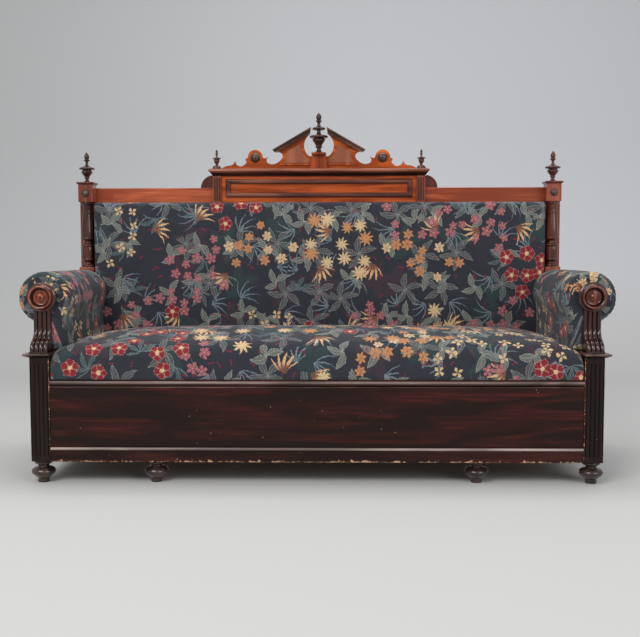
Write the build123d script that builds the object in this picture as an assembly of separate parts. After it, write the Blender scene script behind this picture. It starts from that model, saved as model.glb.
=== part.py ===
from build123d import *
import os

# Swedish pull-out bench bed: a mahogany sofa in the late Empire taste, whose front draws forward
# into a bed and whose sprung seat lifts off. Millimetres. X is the width, the front faces -Y and
# +Z is up. The origin is on the floor, in the middle of the sofa's length and depth.
# Depths are counted backwards from the plane of the front posts' faces.

# ---------------------------------------------------------------- driving dimensions
FRONT_FACE = -321.5        # Y of depth 0
FLOOR_TO_CARCASE = 73.0    # underside of the base rails, on top of the feet
BASE_RAIL_TOP = 111.0
BEAD_TOP = 123.5           # the bead under the front board
DRAWER_TOP = 319.5
SEAT_RAIL_BOTTOM = 322.0
SEAT_RAIL_TOP = 341.0
POST_TOP = 414.0           # front posts and end panels
LEDGE_TOP = 426.5          # moulded ledge on which the arms stand
ROLL_HEIGHT = 604.0        # axis of the rolled arms
ROLL_OUT = 893.0           # the same axis, out from the middle
ROLL_RADIUS = 82.0
RAIL_TOP = 1001.0          # top rail of the back
CORNICE_BOTTOM = 1045.0
CORNICE_TOP = 1072.0
KEYSTONE_TOP = 1132.0
POST_HEAD_TOP = 1012.0
POST_CAP_TOP = 1022.0

POST_OUT = 926.0           # outer face of the front posts
POST_IN = 862.0            # inner face of front and rear posts
POST_DEEP = 67.0
REAR_POST_OUT = 918.0
REAR_POST = (580.0, 636.0)     # depths of the rear posts
RAIL = (622.0, 646.0)          # depths of the rails of the back
STILE = (636.0, 658.0)         # depths of the flat stiles behind the rear posts
BACK_BOARD = (636.0, 654.0)
REAR_AXIS_OUT = 890.0          # axis of the turned rear posts
REAR_AXIS_DEPTH = 608.0

SEAT_HALF = 808.0          # the seat between the rolled arms
SEAT_EAR_HALF = 846.0      # the seat's front corners, in front of the arms
SEAT_EAR_DEPTH = 58.0
SEAT_BACK = 556.0
SEAT_FRAME_TOP = 385.0
ARM_IN = 826.0
ARM_FRONT = 62.0
ARM_BACK = 578.0
PAD_FRONT = 578.0          # front of the upholstered back
PAD_BOTTOM = 440.0
PAD_TOP = 943.0

DRAWER_HALF = 861.0
DRAWER_TRAVEL = 478.0
SLAT_THICK = 18.0
SLAT_WIDE = 62.0
SLAT_PITCH = 138.0
FIXED_SLATS = 12           # as many as fit between the moving ones
SLAT_BED = 129.5           # top of the bearers under the fixed slats
SLAT_PLAY = 0.5            # the moving slats ride this much higher

FOOT_OUT = 897.5
FOOT_DEPTH = 37.0
DRAWER_FOOT_OUT = 525.8
DRAWER_FOOT_DEPTH = 45.0


# ---------------------------------------------------------------- helpers
def block(widths, depths, heights):
    """A rectangular block between two widths, two depths and two heights."""
    size = [high - low for low, high in (widths, depths, heights)]
    middle = [(low + high) / 2 for low, high in (widths, depths, heights)]
    return Pos(middle[0], FRONT_FACE + middle[1], middle[2]) * Box(*size)


def eased(solid, radius):
    """The solid with all its edges rounded."""
    return fillet(solid.edges(), radius)


def outline(start, *steps):
    """A closed flat face. A step of one point is a straight line, of two points an arc through
    the first, and of more points a smooth curve through them all."""
    edges = []
    here = start
    for step in steps:
        if len(step) == 1:
            edges.append(Line(here, step[0]))
        elif len(step) == 2:
            edges.append(ThreePointArc(here, step[0], step[1]))
        else:
            edges.append(Spline(here, *step))
        here = step[-1]
    if (Vector(*here) - Vector(*start)).length > 1e-6:
        edges.append(Line(here, start))
    return make_face(edges)


def turned(start, *steps):
    """A turning about the vertical axis from its (radius, height) outline."""
    return Rotation(90, 0, 0) * revolve(outline(start, *steps), Axis.Y)


def turned_forward(start, *steps):
    """A turning that faces the front, from its (radius, distance forward) outline."""
    return Rotation(180, 0, 0) * revolve(outline(start, *steps), Axis.Y)


def seen_from_front(face, near, far):
    """A face drawn in width and height, made solid between two depths."""
    return Pos(0, FRONT_FACE + far, 0) * (Plane.XZ * extrude(face, far - near, dir=(0, 0, 1)))


def seen_from_side(face, low, high):
    """A face drawn in depth and height, made solid between two widths."""
    plane = Plane((low, FRONT_FACE, 0), x_dir=(0, 1, 0), z_dir=(1, 0, 0))
    return plane * extrude(face, high - low, dir=(0, 0, 1))


def seen_from_above(points, low, high):
    """A polygon drawn in width and depth, made solid between two heights."""
    face = make_face(Polyline(*points, close=True))
    return Pos(0, FRONT_FACE, low) * extrude(face, high - low, dir=(0, 0, 1))


def mirrored(solid):
    return mirror(solid, about=Plane.YZ)


def save(node, *solids):
    """Writes one node's STEP file."""
    shape = solids[0] if len(solids) == 1 else Compound(list(solids))
    export_step(shape, f"parts/{node}.step")


def save_pair(node, right):
    """One piece and its mirror image in a shared node."""
    save(node, mirrored(right), right)


def save_left_right(node, right):
    """One piece and its mirror image in a node each; left is -X."""
    save(f"{node}_left", mirrored(right))
    save(f"{node}_right", right)


# ---------------------------------------------------------------- turned feet
def foot():
    """A vase-shaped foot with a wide round ring low down."""
    return turned(
        (0, 0), [(18.5, 0)], [(19.5, 14)],
        [(25, 18.5), (33, 25), (38.3, 31.5), (39.2, 36), (37, 42), (31.5, 47), (20, 51)],
        [(17.5, 54), (19.5, 57.5)], [(27, 62)], [(29, 66), (27, 70)], [(27, FLOOR_TO_CARCASE)],
        [(0, FLOOR_TO_CARCASE)],
    )


def corner_feet():
    front = Pos(FOOT_OUT, FRONT_FACE + FOOT_DEPTH, 0) * foot()
    rear = Pos(REAR_AXIS_OUT, FRONT_FACE + REAR_AXIS_DEPTH, 0) * foot()
    save("corner_feet", front, mirrored(front), rear, mirrored(rear))


# ---------------------------------------------------------------- carcase: ends and posts
REED_WIDE = 14.0
REED_COUNT = 4
REED_FIRST = 869.0         # inner edge of the reeded field
REED_SPAN = (93.0, 394.0)
REED_DEEP = 3.5            # depth of the grooves between the reeds
BEAD_WIDE = 4.5            # bead down the post's inner corner


def front_post():
    post = eased(block((POST_IN, POST_OUT), (0, POST_DEEP), (FLOOR_TO_CARCASE, POST_TOP)), 1.2)
    field = (REED_FIRST, REED_FIRST + REED_COUNT * REED_WIDE)
    post -= block(field, (-5, REED_DEEP), REED_SPAN)
    post -= block((POST_IN + BEAD_WIDE, POST_IN + BEAD_WIDE + 1.5), (-5, 2.5),
                  (FLOOR_TO_CARCASE - 1, POST_TOP + 1))
    face = None
    for i in range(REED_COUNT):
        inner = REED_FIRST + i * REED_WIDE
        reed = outline(
            (inner, -REED_DEEP - 1), [(inner, -REED_DEEP)],
            [(inner + REED_WIDE / 2, 0), (inner + REED_WIDE, -REED_DEEP)],
            [(inner + REED_WIDE, -REED_DEEP - 1)],
        )
        face = reed if face is None else face + reed
    return post + Pos(0, FRONT_FACE, REED_SPAN[0]) * (
        mirror(extrude(face, REED_SPAN[1] - REED_SPAN[0]), about=Plane.XZ))


def rear_post():
    """One length of timber: square below the arm, turned as a baluster, square at the head."""
    square = (POST_IN, REAR_POST_OUT)
    lower_top = 698.0
    head_bottom = 946.0
    post = eased(block(square, REAR_POST, (FLOOR_TO_CARCASE, lower_top)), 1.2)
    post += eased(block(square, REAR_POST, (head_bottom, POST_HEAD_TOP)), 1.2)
    baluster = turned(
        (0, lower_top - 1), [(22, lower_top - 1)], [(22, 700)], [(26, 700)],
        [(27, 703), (26, 706.5)], [(19.5, 708)], [(15, 714.5), (19.5, 721)], [(22.5, 723)],
        [(24.5, 726.5), (22.5, 730)], [(21.5, 731)], [(23, 742), (24, 760), (22.5, 775)],
        [(24, 776.5)], [(26.5, 780.5), (24, 784.5)], [(19, 786)], [(14.5, 794), (20, 802.5)],
        [(24, 804)], [(25, 807), (24, 810)], [(24.4, 824), (23, 850), (20, 880), (18, 901)],
        [(20, 902)], [(21, 904), (20, 906)], [(17.5, 907.5)], [(17, 918), (18.5, 929), (21, 936)],
        [(24, 938)], [(25.5, 941), (24, 944)], [(22, 944)], [(22, head_bottom + 1)],
        [(0, head_bottom + 1)],
    )
    return post + Pos(REAR_AXIS_OUT, FRONT_FACE + REAR_AXIS_DEPTH, 0) * baluster


PANEL = (906.0, 922.0)     # widths of the end panels


def ledge():
    """The moulded ledge that caps an end, splayed under a thin lip. It wraps the front post and
    runs back past the rear post to the stile."""
    lip_in, lip_out, lip_front = 860.0, 944.0, -15.0
    lip_bottom = LEDGE_TOP - 5.5
    back = REAR_POST[1]
    heights = (POST_TOP - 1, LEDGE_TOP + 1)
    across = outline(
        (lip_in, POST_TOP), [(POST_OUT + 2, POST_TOP)], [(lip_out, lip_bottom)],
        [(lip_out, LEDGE_TOP)], [(lip_in, LEDGE_TOP)],
    )
    along = outline(
        (back, POST_TOP), [(-2, POST_TOP)], [(lip_front, lip_bottom)], [(lip_front, LEDGE_TOP)],
        [(back, LEDGE_TOP)],
    )
    whole = seen_from_front(across, lip_front - 1, back) & seen_from_side(along, lip_in, lip_out)
    lip_edges = [
        edge for edge in whole.edges()
        if (edge.center().X > lip_out - 0.1 or edge.center().Y < FRONT_FACE + lip_front + 0.1)
        and edge.center().Z > lip_bottom - 0.1 and edge.length > 20
    ]
    whole = fillet(lip_edges, 1.6)
    whole -= block((lip_in - 1, POST_IN), (85, back + 1), heights)
    return whole - block((lip_in - 1, REAR_POST_OUT + 1), (REAR_POST[0], back + 1), heights)


def ends():
    save_left_right("front_post", front_post())
    save_left_right("rear_post", rear_post())
    save_left_right("ledge", ledge())
    panel = block(PANEL, (POST_DEEP, REAR_POST[0]), (BASE_RAIL_TOP, POST_TOP))
    save_left_right("end_panel", panel)
    base = eased(block((890, POST_OUT), (POST_DEEP, REAR_POST[0]),
                       (FLOOR_TO_CARCASE, BASE_RAIL_TOP)), 1.2)
    save_pair("end_base_rails", base)
    top = block((POST_IN, PANEL[0]), (POST_DEEP, REAR_POST[0]), (POST_TOP - 44, POST_TOP))
    save_pair("end_top_rails", top)


# ---------------------------------------------------------------- seat support and fixed bed base
def nosed_board(depths, heights, nose, half):
    """A board whose front edge is a half round of the board's own thickness, proud by nose."""
    low, high = heights
    middle = (low + high) / 2
    front = depths[0]
    face = outline(
        (depths[1], low), [(front, low)], [(front - nose, middle), (front, high)],
        [(depths[1], high)],
    )
    return seen_from_side(face, -half, half)


def seat_support():
    save("front_rail", nosed_board((0, 60), (SEAT_RAIL_BOTTOM, SEAT_RAIL_TOP), 6, POST_IN))
    heights = (SEAT_RAIL_TOP - 20, SEAT_RAIL_TOP)
    side = block((780, PANEL[0]), (POST_DEEP, REAR_POST[0]), heights)
    rear = block((-780, 780), (520, BACK_BOARD[0]), heights)
    save("seat_bearers", side, mirrored(side), rear)


BEARER_BOTTOM = BASE_RAIL_TOP
FRONT_BEARER = (82.0, 107.0)
REAR_BEARER = (600.0, 636.0)


def bed_base():
    heights = (BEARER_BOTTOM, SLAT_BED)
    front = block((-PANEL[0], PANEL[0]), FRONT_BEARER, heights)
    rear = block((-POST_IN, POST_IN), REAR_BEARER, heights)
    save("slat_bearers", front, rear)
    runner = block((838, PANEL[0]), (FRONT_BEARER[1], REAR_POST[0]), heights)
    save_pair("drawer_runners", runner)
    slats = []
    for i in range(FIXED_SLATS):
        middle = (i - (FIXED_SLATS - 1) / 2) * SLAT_PITCH
        slats.append(block((middle - SLAT_WIDE / 2, middle + SLAT_WIDE / 2),
                           (FRONT_BEARER[0], REAR_BEARER[1]), (SLAT_BED, SLAT_BED + SLAT_THICK)))
    save("fixed_slats", *slats)


# ---------------------------------------------------------------- back
def back_frame():
    save_left_right("back_stile", block((POST_IN, POST_OUT), STILE, (FLOOR_TO_CARCASE, RAIL_TOP)))
    save("back_board", block((-POST_IN, POST_IN), BACK_BOARD, (FLOOR_TO_CARCASE, 430)))
    rail = block((-POST_IN, POST_IN), RAIL, (920, RAIL_TOP))
    top_edges = rail.edges().filter_by(Axis.X).group_by(Axis.Z)[-1]
    save("back_top_rail", fillet(top_edges, 2.5))
    save("back_lower_rail", block((-POST_IN, POST_IN), RAIL, (430, 480)))
    save_pair("back_uprights", block((280, 330), RAIL, (480, 920)))
    pad = block((-860, 860), (PAD_FRONT, RAIL[0]), (PAD_BOTTOM, PAD_TOP))
    front_edges = pad.faces().sort_by(Axis.Y)[0].edges()
    save("backrest_pad", fillet(front_edges, 20))
    cloth = block((-POST_IN, POST_IN), (RAIL[1], RAIL[1] + 2.5), (430, RAIL_TOP - 4))
    save("outside_back_cloth", cloth)


# ---------------------------------------------------------------- crest of the back
STRIP_OUT = 406.0          # outer edge of the fluted strips, and of the crest panel
STRIP_IN = 373.0
CREST_FRONT = 612.0
CREST_BOTTOM = 944.0
CORNICE_HALF = 420.5       # to the nose of its end moulding
CORNICE = (585.0, 650.0)
PEDIMENT = (622.0, 640.0)


def crest_panel():
    """A panel in front of the top rail, thick enough above the rail to carry the cornice."""
    face = outline(
        (CREST_FRONT, CREST_BOTTOM), [(RAIL[0], CREST_BOTTOM)], [(RAIL[0], RAIL_TOP)],
        [(RAIL[1], RAIL_TOP)], [(RAIL[1], CORNICE_BOTTOM)], [(CREST_FRONT, CORNICE_BOTTOM)],
    )
    return seen_from_side(face, -STRIP_OUT, STRIP_OUT)


def crest_strip():
    """A short fluted pilaster strip."""
    strip = eased(block((STRIP_IN, STRIP_OUT), (604, CREST_FRONT),
                        (CREST_BOTTOM, CORNICE_BOTTOM)), 0.8)
    flute_radius = 3.6
    for i in (-1, 0, 1):
        out = (STRIP_IN + STRIP_OUT) / 2 + i * 9.5
        flute = Pos(out, FRONT_FACE + 603, (CREST_BOTTOM + CORNICE_BOTTOM) / 2) * Cylinder(
            flute_radius, CORNICE_BOTTOM - CREST_BOTTOM - 14)
        strip -= flute
    return strip


def panel_moulding():
    """Four mitred lengths of half-round moulding round the crest panel."""
    half_x, low, high = 357.0, 964.0, 1033.0
    wide = 18.0
    near = 602.0
    middle = (low + high) / 2
    centre = Pos(0, middle)
    outer = Rectangle(2 * half_x, high - low)
    inner = Rectangle(2 * (half_x - wide), high - low - 2 * wide)
    ring = seen_from_front(centre * (outer - inner), near, CREST_FRONT)
    ring = fillet(ring.faces().sort_by(Axis.Y)[0].edges(), 7.5)
    corners = [(-half_x, low), (half_x, low), (half_x, high), (-half_x, high)]
    insides = [(-half_x + wide, low + wide), (half_x - wide, low + wide),
               (half_x - wide, high - wide), (-half_x + wide, high - wide)]
    lengths = []
    for i in range(4):
        j = (i + 1) % 4
        mitre = make_face(Polyline(corners[i], corners[j], insides[j], insides[i], close=True))
        lengths.append(ring & seen_from_front(mitre, near - 1, CREST_FRONT))
    return lengths


def cornice():
    """A thumb moulding over a cove, returned at both ends: the front run cut by the end run."""
    nose_height = CORNICE_TOP - 10
    thumb = 10.0

    def moulding(nose, cove_foot, far):
        reach = nose - cove_foot
        outward = 1 if reach > 0 else -1
        return [
            [(cove_foot, CORNICE_BOTTOM)],
            [(cove_foot + reach * 0.12, CORNICE_BOTTOM + 3)],
            [(cove_foot + reach * 0.38, CORNICE_BOTTOM + 8), (nose - 3.5 * outward, nose_height - 2)],
            [(nose, nose_height)],
            [(nose - outward, nose_height + 5.5), (nose - thumb * outward, CORNICE_TOP)],
            [(far, CORNICE_TOP)],
        ]

    side = outline((CORNICE[1], CORNICE_BOTTOM), *moulding(CORNICE[0], 606, CORNICE[1]))
    front = outline((0, CORNICE_BOTTOM), *moulding(CORNICE_HALF, STRIP_OUT, 0))
    right = seen_from_front(front, CORNICE[0] - 5, CORNICE[1] + 5)
    return seen_from_side(side, -CORNICE_HALF - 10, CORNICE_HALF + 10) & (right + mirrored(right))


def pediment_half():
    """Half of the scroll-cut pediment, from its low wave at the end to the hollow round the urn."""
    return outline(
        (0, CORNICE_TOP), [(378, CORNICE_TOP)],
        [(366, 1080), (352, 1085), (338, 1086.5), (330, 1090)], [(321.5, 1103)],
        [(317, 1091), (309, 1085), (300, 1083), (288, 1087.5), (277.5, 1099)],
        [(282.5, 1108)], [(280, 1113)], [(273, 1114.5)],
        [(244.5, 1145.5), (216, 1119)], [(213, 1114.5)], [(206, 1113.5)], [(194.5, 1118)],
        [(201.5, 1108), (199, 1099), (189, 1092.5), (177, 1091), (162, 1095), (149, 1104.5),
         (139.5, 1118), (142, 1129.5), (154, 1137.5)],
        [(34.5, 1204.7)],
        [(49, 1190), (57, 1164), (51, 1137), (36, 1121)],
        [(0, 1121)],
    )


def raking_cornice():
    """The sloping moulding along the top of one pediment half."""
    body = outline((154, 1137.5), [(168.5, 1136.5)], [(177.5, 1143)], [(30, 1228)], [(34, 1205)])
    lip = outline((173.2, 1140), [(177.5, 1143)], [(30, 1228)], [(31.5, 1219.5)])
    return seen_from_front(body, 604, PEDIMENT[1]) + seen_from_front(lip, 595, PEDIMENT[1] + 3)


def tympanum_panel():
    """A lighter veneer panel let on to the pediment beside the urn, and the bead below it."""
    face = outline(
        (36, 1096), [(141, 1096)], [(127, 1109), (124, 1125)], [(124, 1139)], [(72, 1167)],
        [(70, 1150), (57, 1127), (36, 1107)],
    )
    bead = eased(block((35, 149), (PEDIMENT[0] - 4, PEDIMENT[0]), (1086.5, 1092.5)), 1.4)
    return [seen_from_front(face, PEDIMENT[0] - 1.5, PEDIMENT[0]), bead]


def keystone():
    """A tapering block under a square cap; its head bends back over the pediment board."""
    cap_bottom = KEYSTONE_TOP - 8.5
    wedge = outline((0, CORNICE_TOP), [(34, CORNICE_TOP)], [(24, 1121)], [(24, cap_bottom)],
                    [(0, cap_bottom)])
    right = seen_from_front(wedge, 600, PEDIMENT[0])
    right += block((0, 24), (600, PEDIMENT[1]), (1121, cap_bottom))
    cap = eased(block((-28, 28), (584, 640), (cap_bottom, KEYSTONE_TOP)), 2.8)
    return right + mirrored(right) + cap


def ear():
    """A quarter disc with sunk rings, in the corner between the rail and the fluted strip."""
    radius = 48.5
    near = 624.0
    quarter = Circle(radius) & (Pos(radius / 2, radius / 2) * Rectangle(radius, radius))
    corner = Pos(STRIP_OUT, RAIL_TOP)
    disc = seen_from_front(corner * quarter, near, near + 18)
    for ring in (13.0, 22.0, 31.0, 40.0):
        groove = (Circle(ring + 1.6) - Circle(ring - 1.6)) & quarter
        disc -= seen_from_front(corner * groove, near - 1, near + 2.5)
    under_cornice = block((STRIP_OUT - 1, STRIP_OUT + 5), (near - 1, near + 19),
                          (CORNICE_BOTTOM, RAIL_TOP + radius + 1))
    return disc - under_cornice


def boss(radius, high):
    """A plain domed knob that faces the front."""
    ball = (radius**2 + high**2) / (2 * high)
    part_way = radius * 0.6
    rise = high - ball + (ball**2 - part_way**2) ** 0.5
    return turned_forward((0, 0), [(radius, 0)], [(part_way, rise), (0, high)])


def post_finial():
    """A covered vase with a bud on its lid, on the cap of a rear post."""
    base = POST_CAP_TOP
    return turned(
        (0, base), [(19.5, base)], [(19.5, base + 1.5)], [(10, base + 4.5), (6, base + 11)],
        [(6, base + 13)], [(9.5, base + 14.5)], [(10.5, base + 17), (9, base + 19.5)],
        [(8.5, base + 21)], [(15.5, base + 29), (21, base + 37)], [(21.4, base + 39.5),
        (20, base + 42)], [(16.5, base + 44)], [(16.5, base + 46.5)], [(24, base + 48.5)],
        [(29.3, base + 52.5), (27, base + 55.5)], [(19, base + 58), (9, base + 63)],
        [(5.2, base + 68.5), (4.8, base + 74)], [(7, base + 80)], [(10.5, base + 82.5)],
        [(11.8, base + 84.5), (10, base + 86.5)], [(5.5, base + 87.5)],
        [(8.5, base + 91), (9.7, base + 97), (6.8, base + 106), (2, base + 113.5)],
        [(0, base + 115.5)],
    )


def cornice_finial():
    """The smallest vase, on a domed foot, at each end of the cornice."""
    base = CORNICE_TOP
    return turned(
        (0, base), [(17.5, base)], [(17.5, base + 1.5)], [(15.5, base + 7.5), (10.5, base + 12.5)],
        [(4.5, base + 15)], [(3.5, base + 16)], [(8, base + 23), (11.2, base + 29.5)],
        [(11, base + 33), (9, base + 36.5)], [(13, base + 37.5)],
        [(15.9, base + 39.8), (13, base + 42)],
        [(7, base + 44), (3.4, base + 48.5)], [(3, base + 51)], [(4.5, base + 54)],
        [(5, base + 57), (4, base + 60), (4.4, base + 64), (2.2, base + 71)],
        [(0, base + 75.5)],
    )


def urn():
    """The covered urn in the middle of the crest, with a second lid on a stem above the first."""
    base = KEYSTONE_TOP
    return turned(
        (0, base), [(24, base)], [(24, base + 2)], [(13, base + 5), (8.4, base + 11)],
        [(7.6, base + 15), (8.4, base + 18.5)], [(12.5, base + 20)],
        [(14.2, base + 22), (12.5, base + 24)], [(11.2, base + 26)], [(11.8, base + 29)],
        [(18.2, base + 38), (23.8, base + 46.5)], [(24.4, base + 49.5), (22.6, base + 52)],
        [(19.4, base + 54)], [(19.4, base + 56.5)], [(26, base + 57.5)],
        [(34.2, base + 61.8), (31, base + 65)], [(22, base + 67.5), (10, base + 71)],
        [(6.9, base + 78), (8.4, base + 87)], [(16, base + 89.5)],
        [(24.2, base + 92.8), (21, base + 95.5)], [(11, base + 99), (6.4, base + 105)],
        [(5.8, base + 111), (7.2, base + 116)], [(10.5, base + 118.5)],
        [(11.9, base + 120.5), (10.3, base + 122.5)], [(6.5, base + 123.5)],
        [(9, base + 128), (10.3, base + 134), (7.4, base + 143.5), (2, base + 151)],
        [(0, base + 153)],
    )


def crest():
    save("crest_panel", crest_panel())
    save_pair("crest_strips", crest_strip())
    save("panel_moulding", *panel_moulding())
    save("cornice", cornice())
    half = pediment_half()
    board = seen_from_front(half, *PEDIMENT)
    save("pediment_board", board + mirrored(board))
    save_pair("raking_cornices", raking_cornice())
    right_panel = tympanum_panel()
    save("tympanum_panels", *[mirrored(piece) for piece in right_panel], *right_panel)
    save("keystone", keystone())
    save_pair("ear_brackets", ear())
    save_pair("pediment_bosses", Pos(244, FRONT_FACE + PEDIMENT[0], 1115.5) * boss(19, 12))
    save("centre_finial", Pos(0, FRONT_FACE + 612, 0) * urn())
    save_pair("cornice_finials", Pos(391, FRONT_FACE + 612, 0) * cornice_finial())


def post_heads():
    middle = Pos(REAR_AXIS_OUT, FRONT_FACE + REAR_AXIS_DEPTH, POST_HEAD_TOP)
    splay = extrude(Rectangle(56, 56), 4.5, taper=-45)
    slab = Pos(0, 0, 6.5) * eased(Box(68, 68, 5), 1.8)
    hip = Pos(0, 0, 8.5) * extrude(Rectangle(63, 63), POST_CAP_TOP - POST_HEAD_TOP - 8.5, taper=50)
    save_pair("post_caps", middle * (splay + slab + hip))
    save_pair("post_finials", Pos(REAR_AXIS_OUT, FRONT_FACE + REAR_AXIS_DEPTH, 0) * post_finial())
    save_pair("post_bosses", Pos(REAR_AXIS_OUT, FRONT_FACE + REAR_POST[0], 979) * boss(14.5, 10))


# ---------------------------------------------------------------- arms
CONSOLE = (868.0, 926.0)
HEAD_OUT = 895.6
HEAD_HEIGHT = 607.0
HEAD_DEPTH = 45.0


def console():
    """The reeded scroll bracket in front of an arm, with the round head that carries a rosette."""
    reed = (CONSOLE[1] - CONSOLE[0]) / REED_COUNT
    belly, shoulder, neck, neck_top = 7.5, (26.22, 462.4), (54.3, 505), 590.0
    foot_low, foot_high = 432.0, 434.0
    foot_line = Line((belly, foot_low), (belly, foot_high))
    belly_line = TangentArc(foot_line @ 1, shoulder, tangent=(0, 1))
    hollow_line = TangentArc(belly_line @ 1, neck, tangent=belly_line % 1)
    neck_line = Line(hollow_line @ 1, (neck[0], neck_top))
    lines = [foot_line, belly_line, hollow_line, neck_line]
    edges = [
        Line((ARM_FRONT, LEDGE_TOP), (belly - 4, LEDGE_TOP)),
        Line((belly - 4, LEDGE_TOP), (belly - 4, foot_low)),
        Line((belly - 4, foot_low), foot_line @ 0),
        *lines, Line(neck_line @ 1, (ARM_FRONT, neck_top)),
        Line((ARM_FRONT, neck_top), (ARM_FRONT, LEDGE_TOP)),
    ]
    bracket = seen_from_side(make_face(edges), *CONSOLE)
    place = Plane((0, FRONT_FACE, 0), x_dir=(0, 1, 0), z_dir=(1, 0, 0))
    path = place * Wire(lines)
    bar = sweep(Plane(path @ 0, z_dir=path % 0) * Circle(reed / 2 - 0.1), path)
    bracket += [Pos(CONSOLE[0] + (i + 0.5) * reed, 0, 0) * bar for i in range(REED_COUNT)]
    centre = Pos(HEAD_OUT, FRONT_FACE + ARM_FRONT, HEAD_HEIGHT)
    head = centre * turned_forward((0, 0), [(44, 0)], [(44, 15)], [(42, 17)], [(0, 17)])
    return bracket + head


def rosette():
    """A dished turning: outer ring, dark hollow, and a button with a nipple."""
    shape = turned_forward(
        (0, 0), [(47, 0)], [(48, 2.5), (46, 5)], [(41, 9), (38.5, 17)],
        [(38, 22), (34.5, 24)], [(31, 22), (28.5, 16)], [(25, 8), (18, 7)], [(11, 8)],
        [(13, 12.5), (9, 17)], [(5.5, 19)], [(4.5, 27)], [(2.7, 30)], [(0, 31)],
    )
    return Pos(HEAD_OUT, FRONT_FACE + HEAD_DEPTH, HEAD_HEIGHT) * shape


def lying_cylinder(radius, depths):
    return Pos(ROLL_OUT, FRONT_FACE + (depths[0] + depths[1]) / 2, ROLL_HEIGHT) * (
        Rotation(90, 0, 0) * Cylinder(radius, depths[1] - depths[0]))


def arm_frame():
    """The timber inside an arm: an upright board and the round rail of the roll."""
    inside = (ARM_FRONT + 12, ARM_BACK - 8)
    board = block((866, 888), inside, (LEDGE_TOP, ROLL_HEIGHT))
    return board + lying_cylinder(30, inside)


def arm_pad():
    roll = lying_cylinder(ROLL_RADIUS, (ARM_FRONT, ARM_BACK))
    rims = roll.edges().filter_by(GeomType.CIRCLE).sort_by(Axis.Y)
    roll = fillet(rims[0], 20)
    roll = fillet(roll.edges().filter_by(GeomType.CIRCLE).sort_by(Axis.Y)[-1], 8)
    wall = block((ARM_IN, 922), (ARM_FRONT, ARM_BACK), (LEDGE_TOP, 566))
    inner_corner = wall.edges().filter_by(Axis.Z).sort_by(Axis.Y)[:2].sort_by(Axis.X)[0]
    wall = fillet(inner_corner, 10)
    return roll + wall - arm_frame()


def arms():
    save_left_right("arm_console", console())
    save_pair("arm_rosettes", rosette())
    save_pair("arm_frames", arm_frame())
    save_left_right("arm_pad", arm_pad())


# ---------------------------------------------------------------- lift-off sprung seat
SPRING_ROWS = 3
SPRINGS_IN_ROW = 7
SPRING_RADIUS = 36.0
WIRE_RADIUS = 2.0
WEB_BOTTOM = 345.0
WEB_THICK = 2.0
WELL_HALF = 765.0          # inside of the seat frame
WELL = (58.0, 506.0)
WELL_TOP = 430.0


def seat_frame():
    heights = (SEAT_RAIL_TOP, SEAT_FRAME_TOP)
    front = block((-SEAT_EAR_HALF + 3, SEAT_EAR_HALF - 3), (4, WELL[0]), heights)
    rear = block((-805, 805), (WELL[1], SEAT_BACK), heights)
    side = block((WELL_HALF, 805), WELL, heights)
    save("seat_frame", front, rear, side, mirrored(side))


def seat_webbing():
    """Jute straps: seven groups from front to back, with three along the seat lying on them."""
    straps = []
    web = 60.0
    spacing = 2 * WELL_HALF / SPRINGS_IN_ROW
    for i in range(SPRINGS_IN_ROW):
        middle = -WELL_HALF + (i + 0.5) * spacing
        for side in (-1, 1):
            across = middle + side * web * 0.6
            straps.append(block((across - web / 2, across + web / 2), WELL,
                                (WEB_BOTTOM, WEB_BOTTOM + WEB_THICK)))
    row = (WELL[1] - WELL[0]) / SPRING_ROWS
    for i in range(SPRING_ROWS):
        along = WELL[0] + (i + 0.5) * row
        straps.append(block((-WELL_HALF, WELL_HALF), (along - web / 2, along + web / 2),
                            (WEB_BOTTOM + WEB_THICK, WEB_BOTTOM + 2 * WEB_THICK)))
    save("seat_webbing", *straps)


def seat_springs():
    low = WEB_BOTTOM + 2 * WEB_THICK + WIRE_RADIUS
    high = WELL_TOP - WIRE_RADIUS
    path = Helix(pitch=(high - low) / 4, height=high - low, radius=SPRING_RADIUS)
    spring = sweep(Plane(path @ 0, z_dir=path % 0) * Circle(WIRE_RADIUS), path)
    springs = []
    for i in range(SPRINGS_IN_ROW):
        out = -WELL_HALF + (i + 0.5) * 2 * WELL_HALF / SPRINGS_IN_ROW
        for j in range(SPRING_ROWS):
            deep = WELL[0] + (j + 0.5) * (WELL[1] - WELL[0]) / SPRING_ROWS
            springs.append(Pos(out, FRONT_FACE + deep, low) * spring)
    save("seat_springs", *springs)


def seat_cushion():
    """The stuffing and cover: crowned across and from front to back, hollow over the springs,
    with an apron that covers the front of the frame."""
    side = outline(
        (4, SEAT_RAIL_TOP), [(0, SEAT_RAIL_TOP)], [(0, 415)], [(6, 436), (30, 450)],
        [(110, 484), (210, 496), (400, 486), (520, 477)], [(548, 471), (SEAT_BACK, 455)],
        [(SEAT_BACK, SEAT_FRAME_TOP)], [(4, SEAT_FRAME_TOP)],
    )
    front = outline(
        (0, SEAT_RAIL_TOP), [(SEAT_EAR_HALF, SEAT_RAIL_TOP)], [(SEAT_EAR_HALF, 420)],
        [(843, 436), (818, 450)], [(730, 478), (600, 489), (300, 495), (0, 497)],
    )
    half = seen_from_front(front, -1, SEAT_BACK + 1)
    cushion = seen_from_side(side, -SEAT_EAR_HALF - 1, SEAT_EAR_HALF + 1) & (half + mirrored(half))
    for sign in (-1, 1):
        low, high = sorted((sign * SEAT_HALF, sign * 900))
        cushion -= block((low, high), (SEAT_EAR_DEPTH, 600), (300, 600))
    cushion -= block((-WELL_HALF, WELL_HALF), WELL, (SEAT_FRAME_TOP - 1, WELL_TOP))
    save("seat_cushion", cushion)


def seat():
    seat_frame()
    seat_webbing()
    seat_springs()
    seat_cushion()


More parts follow.
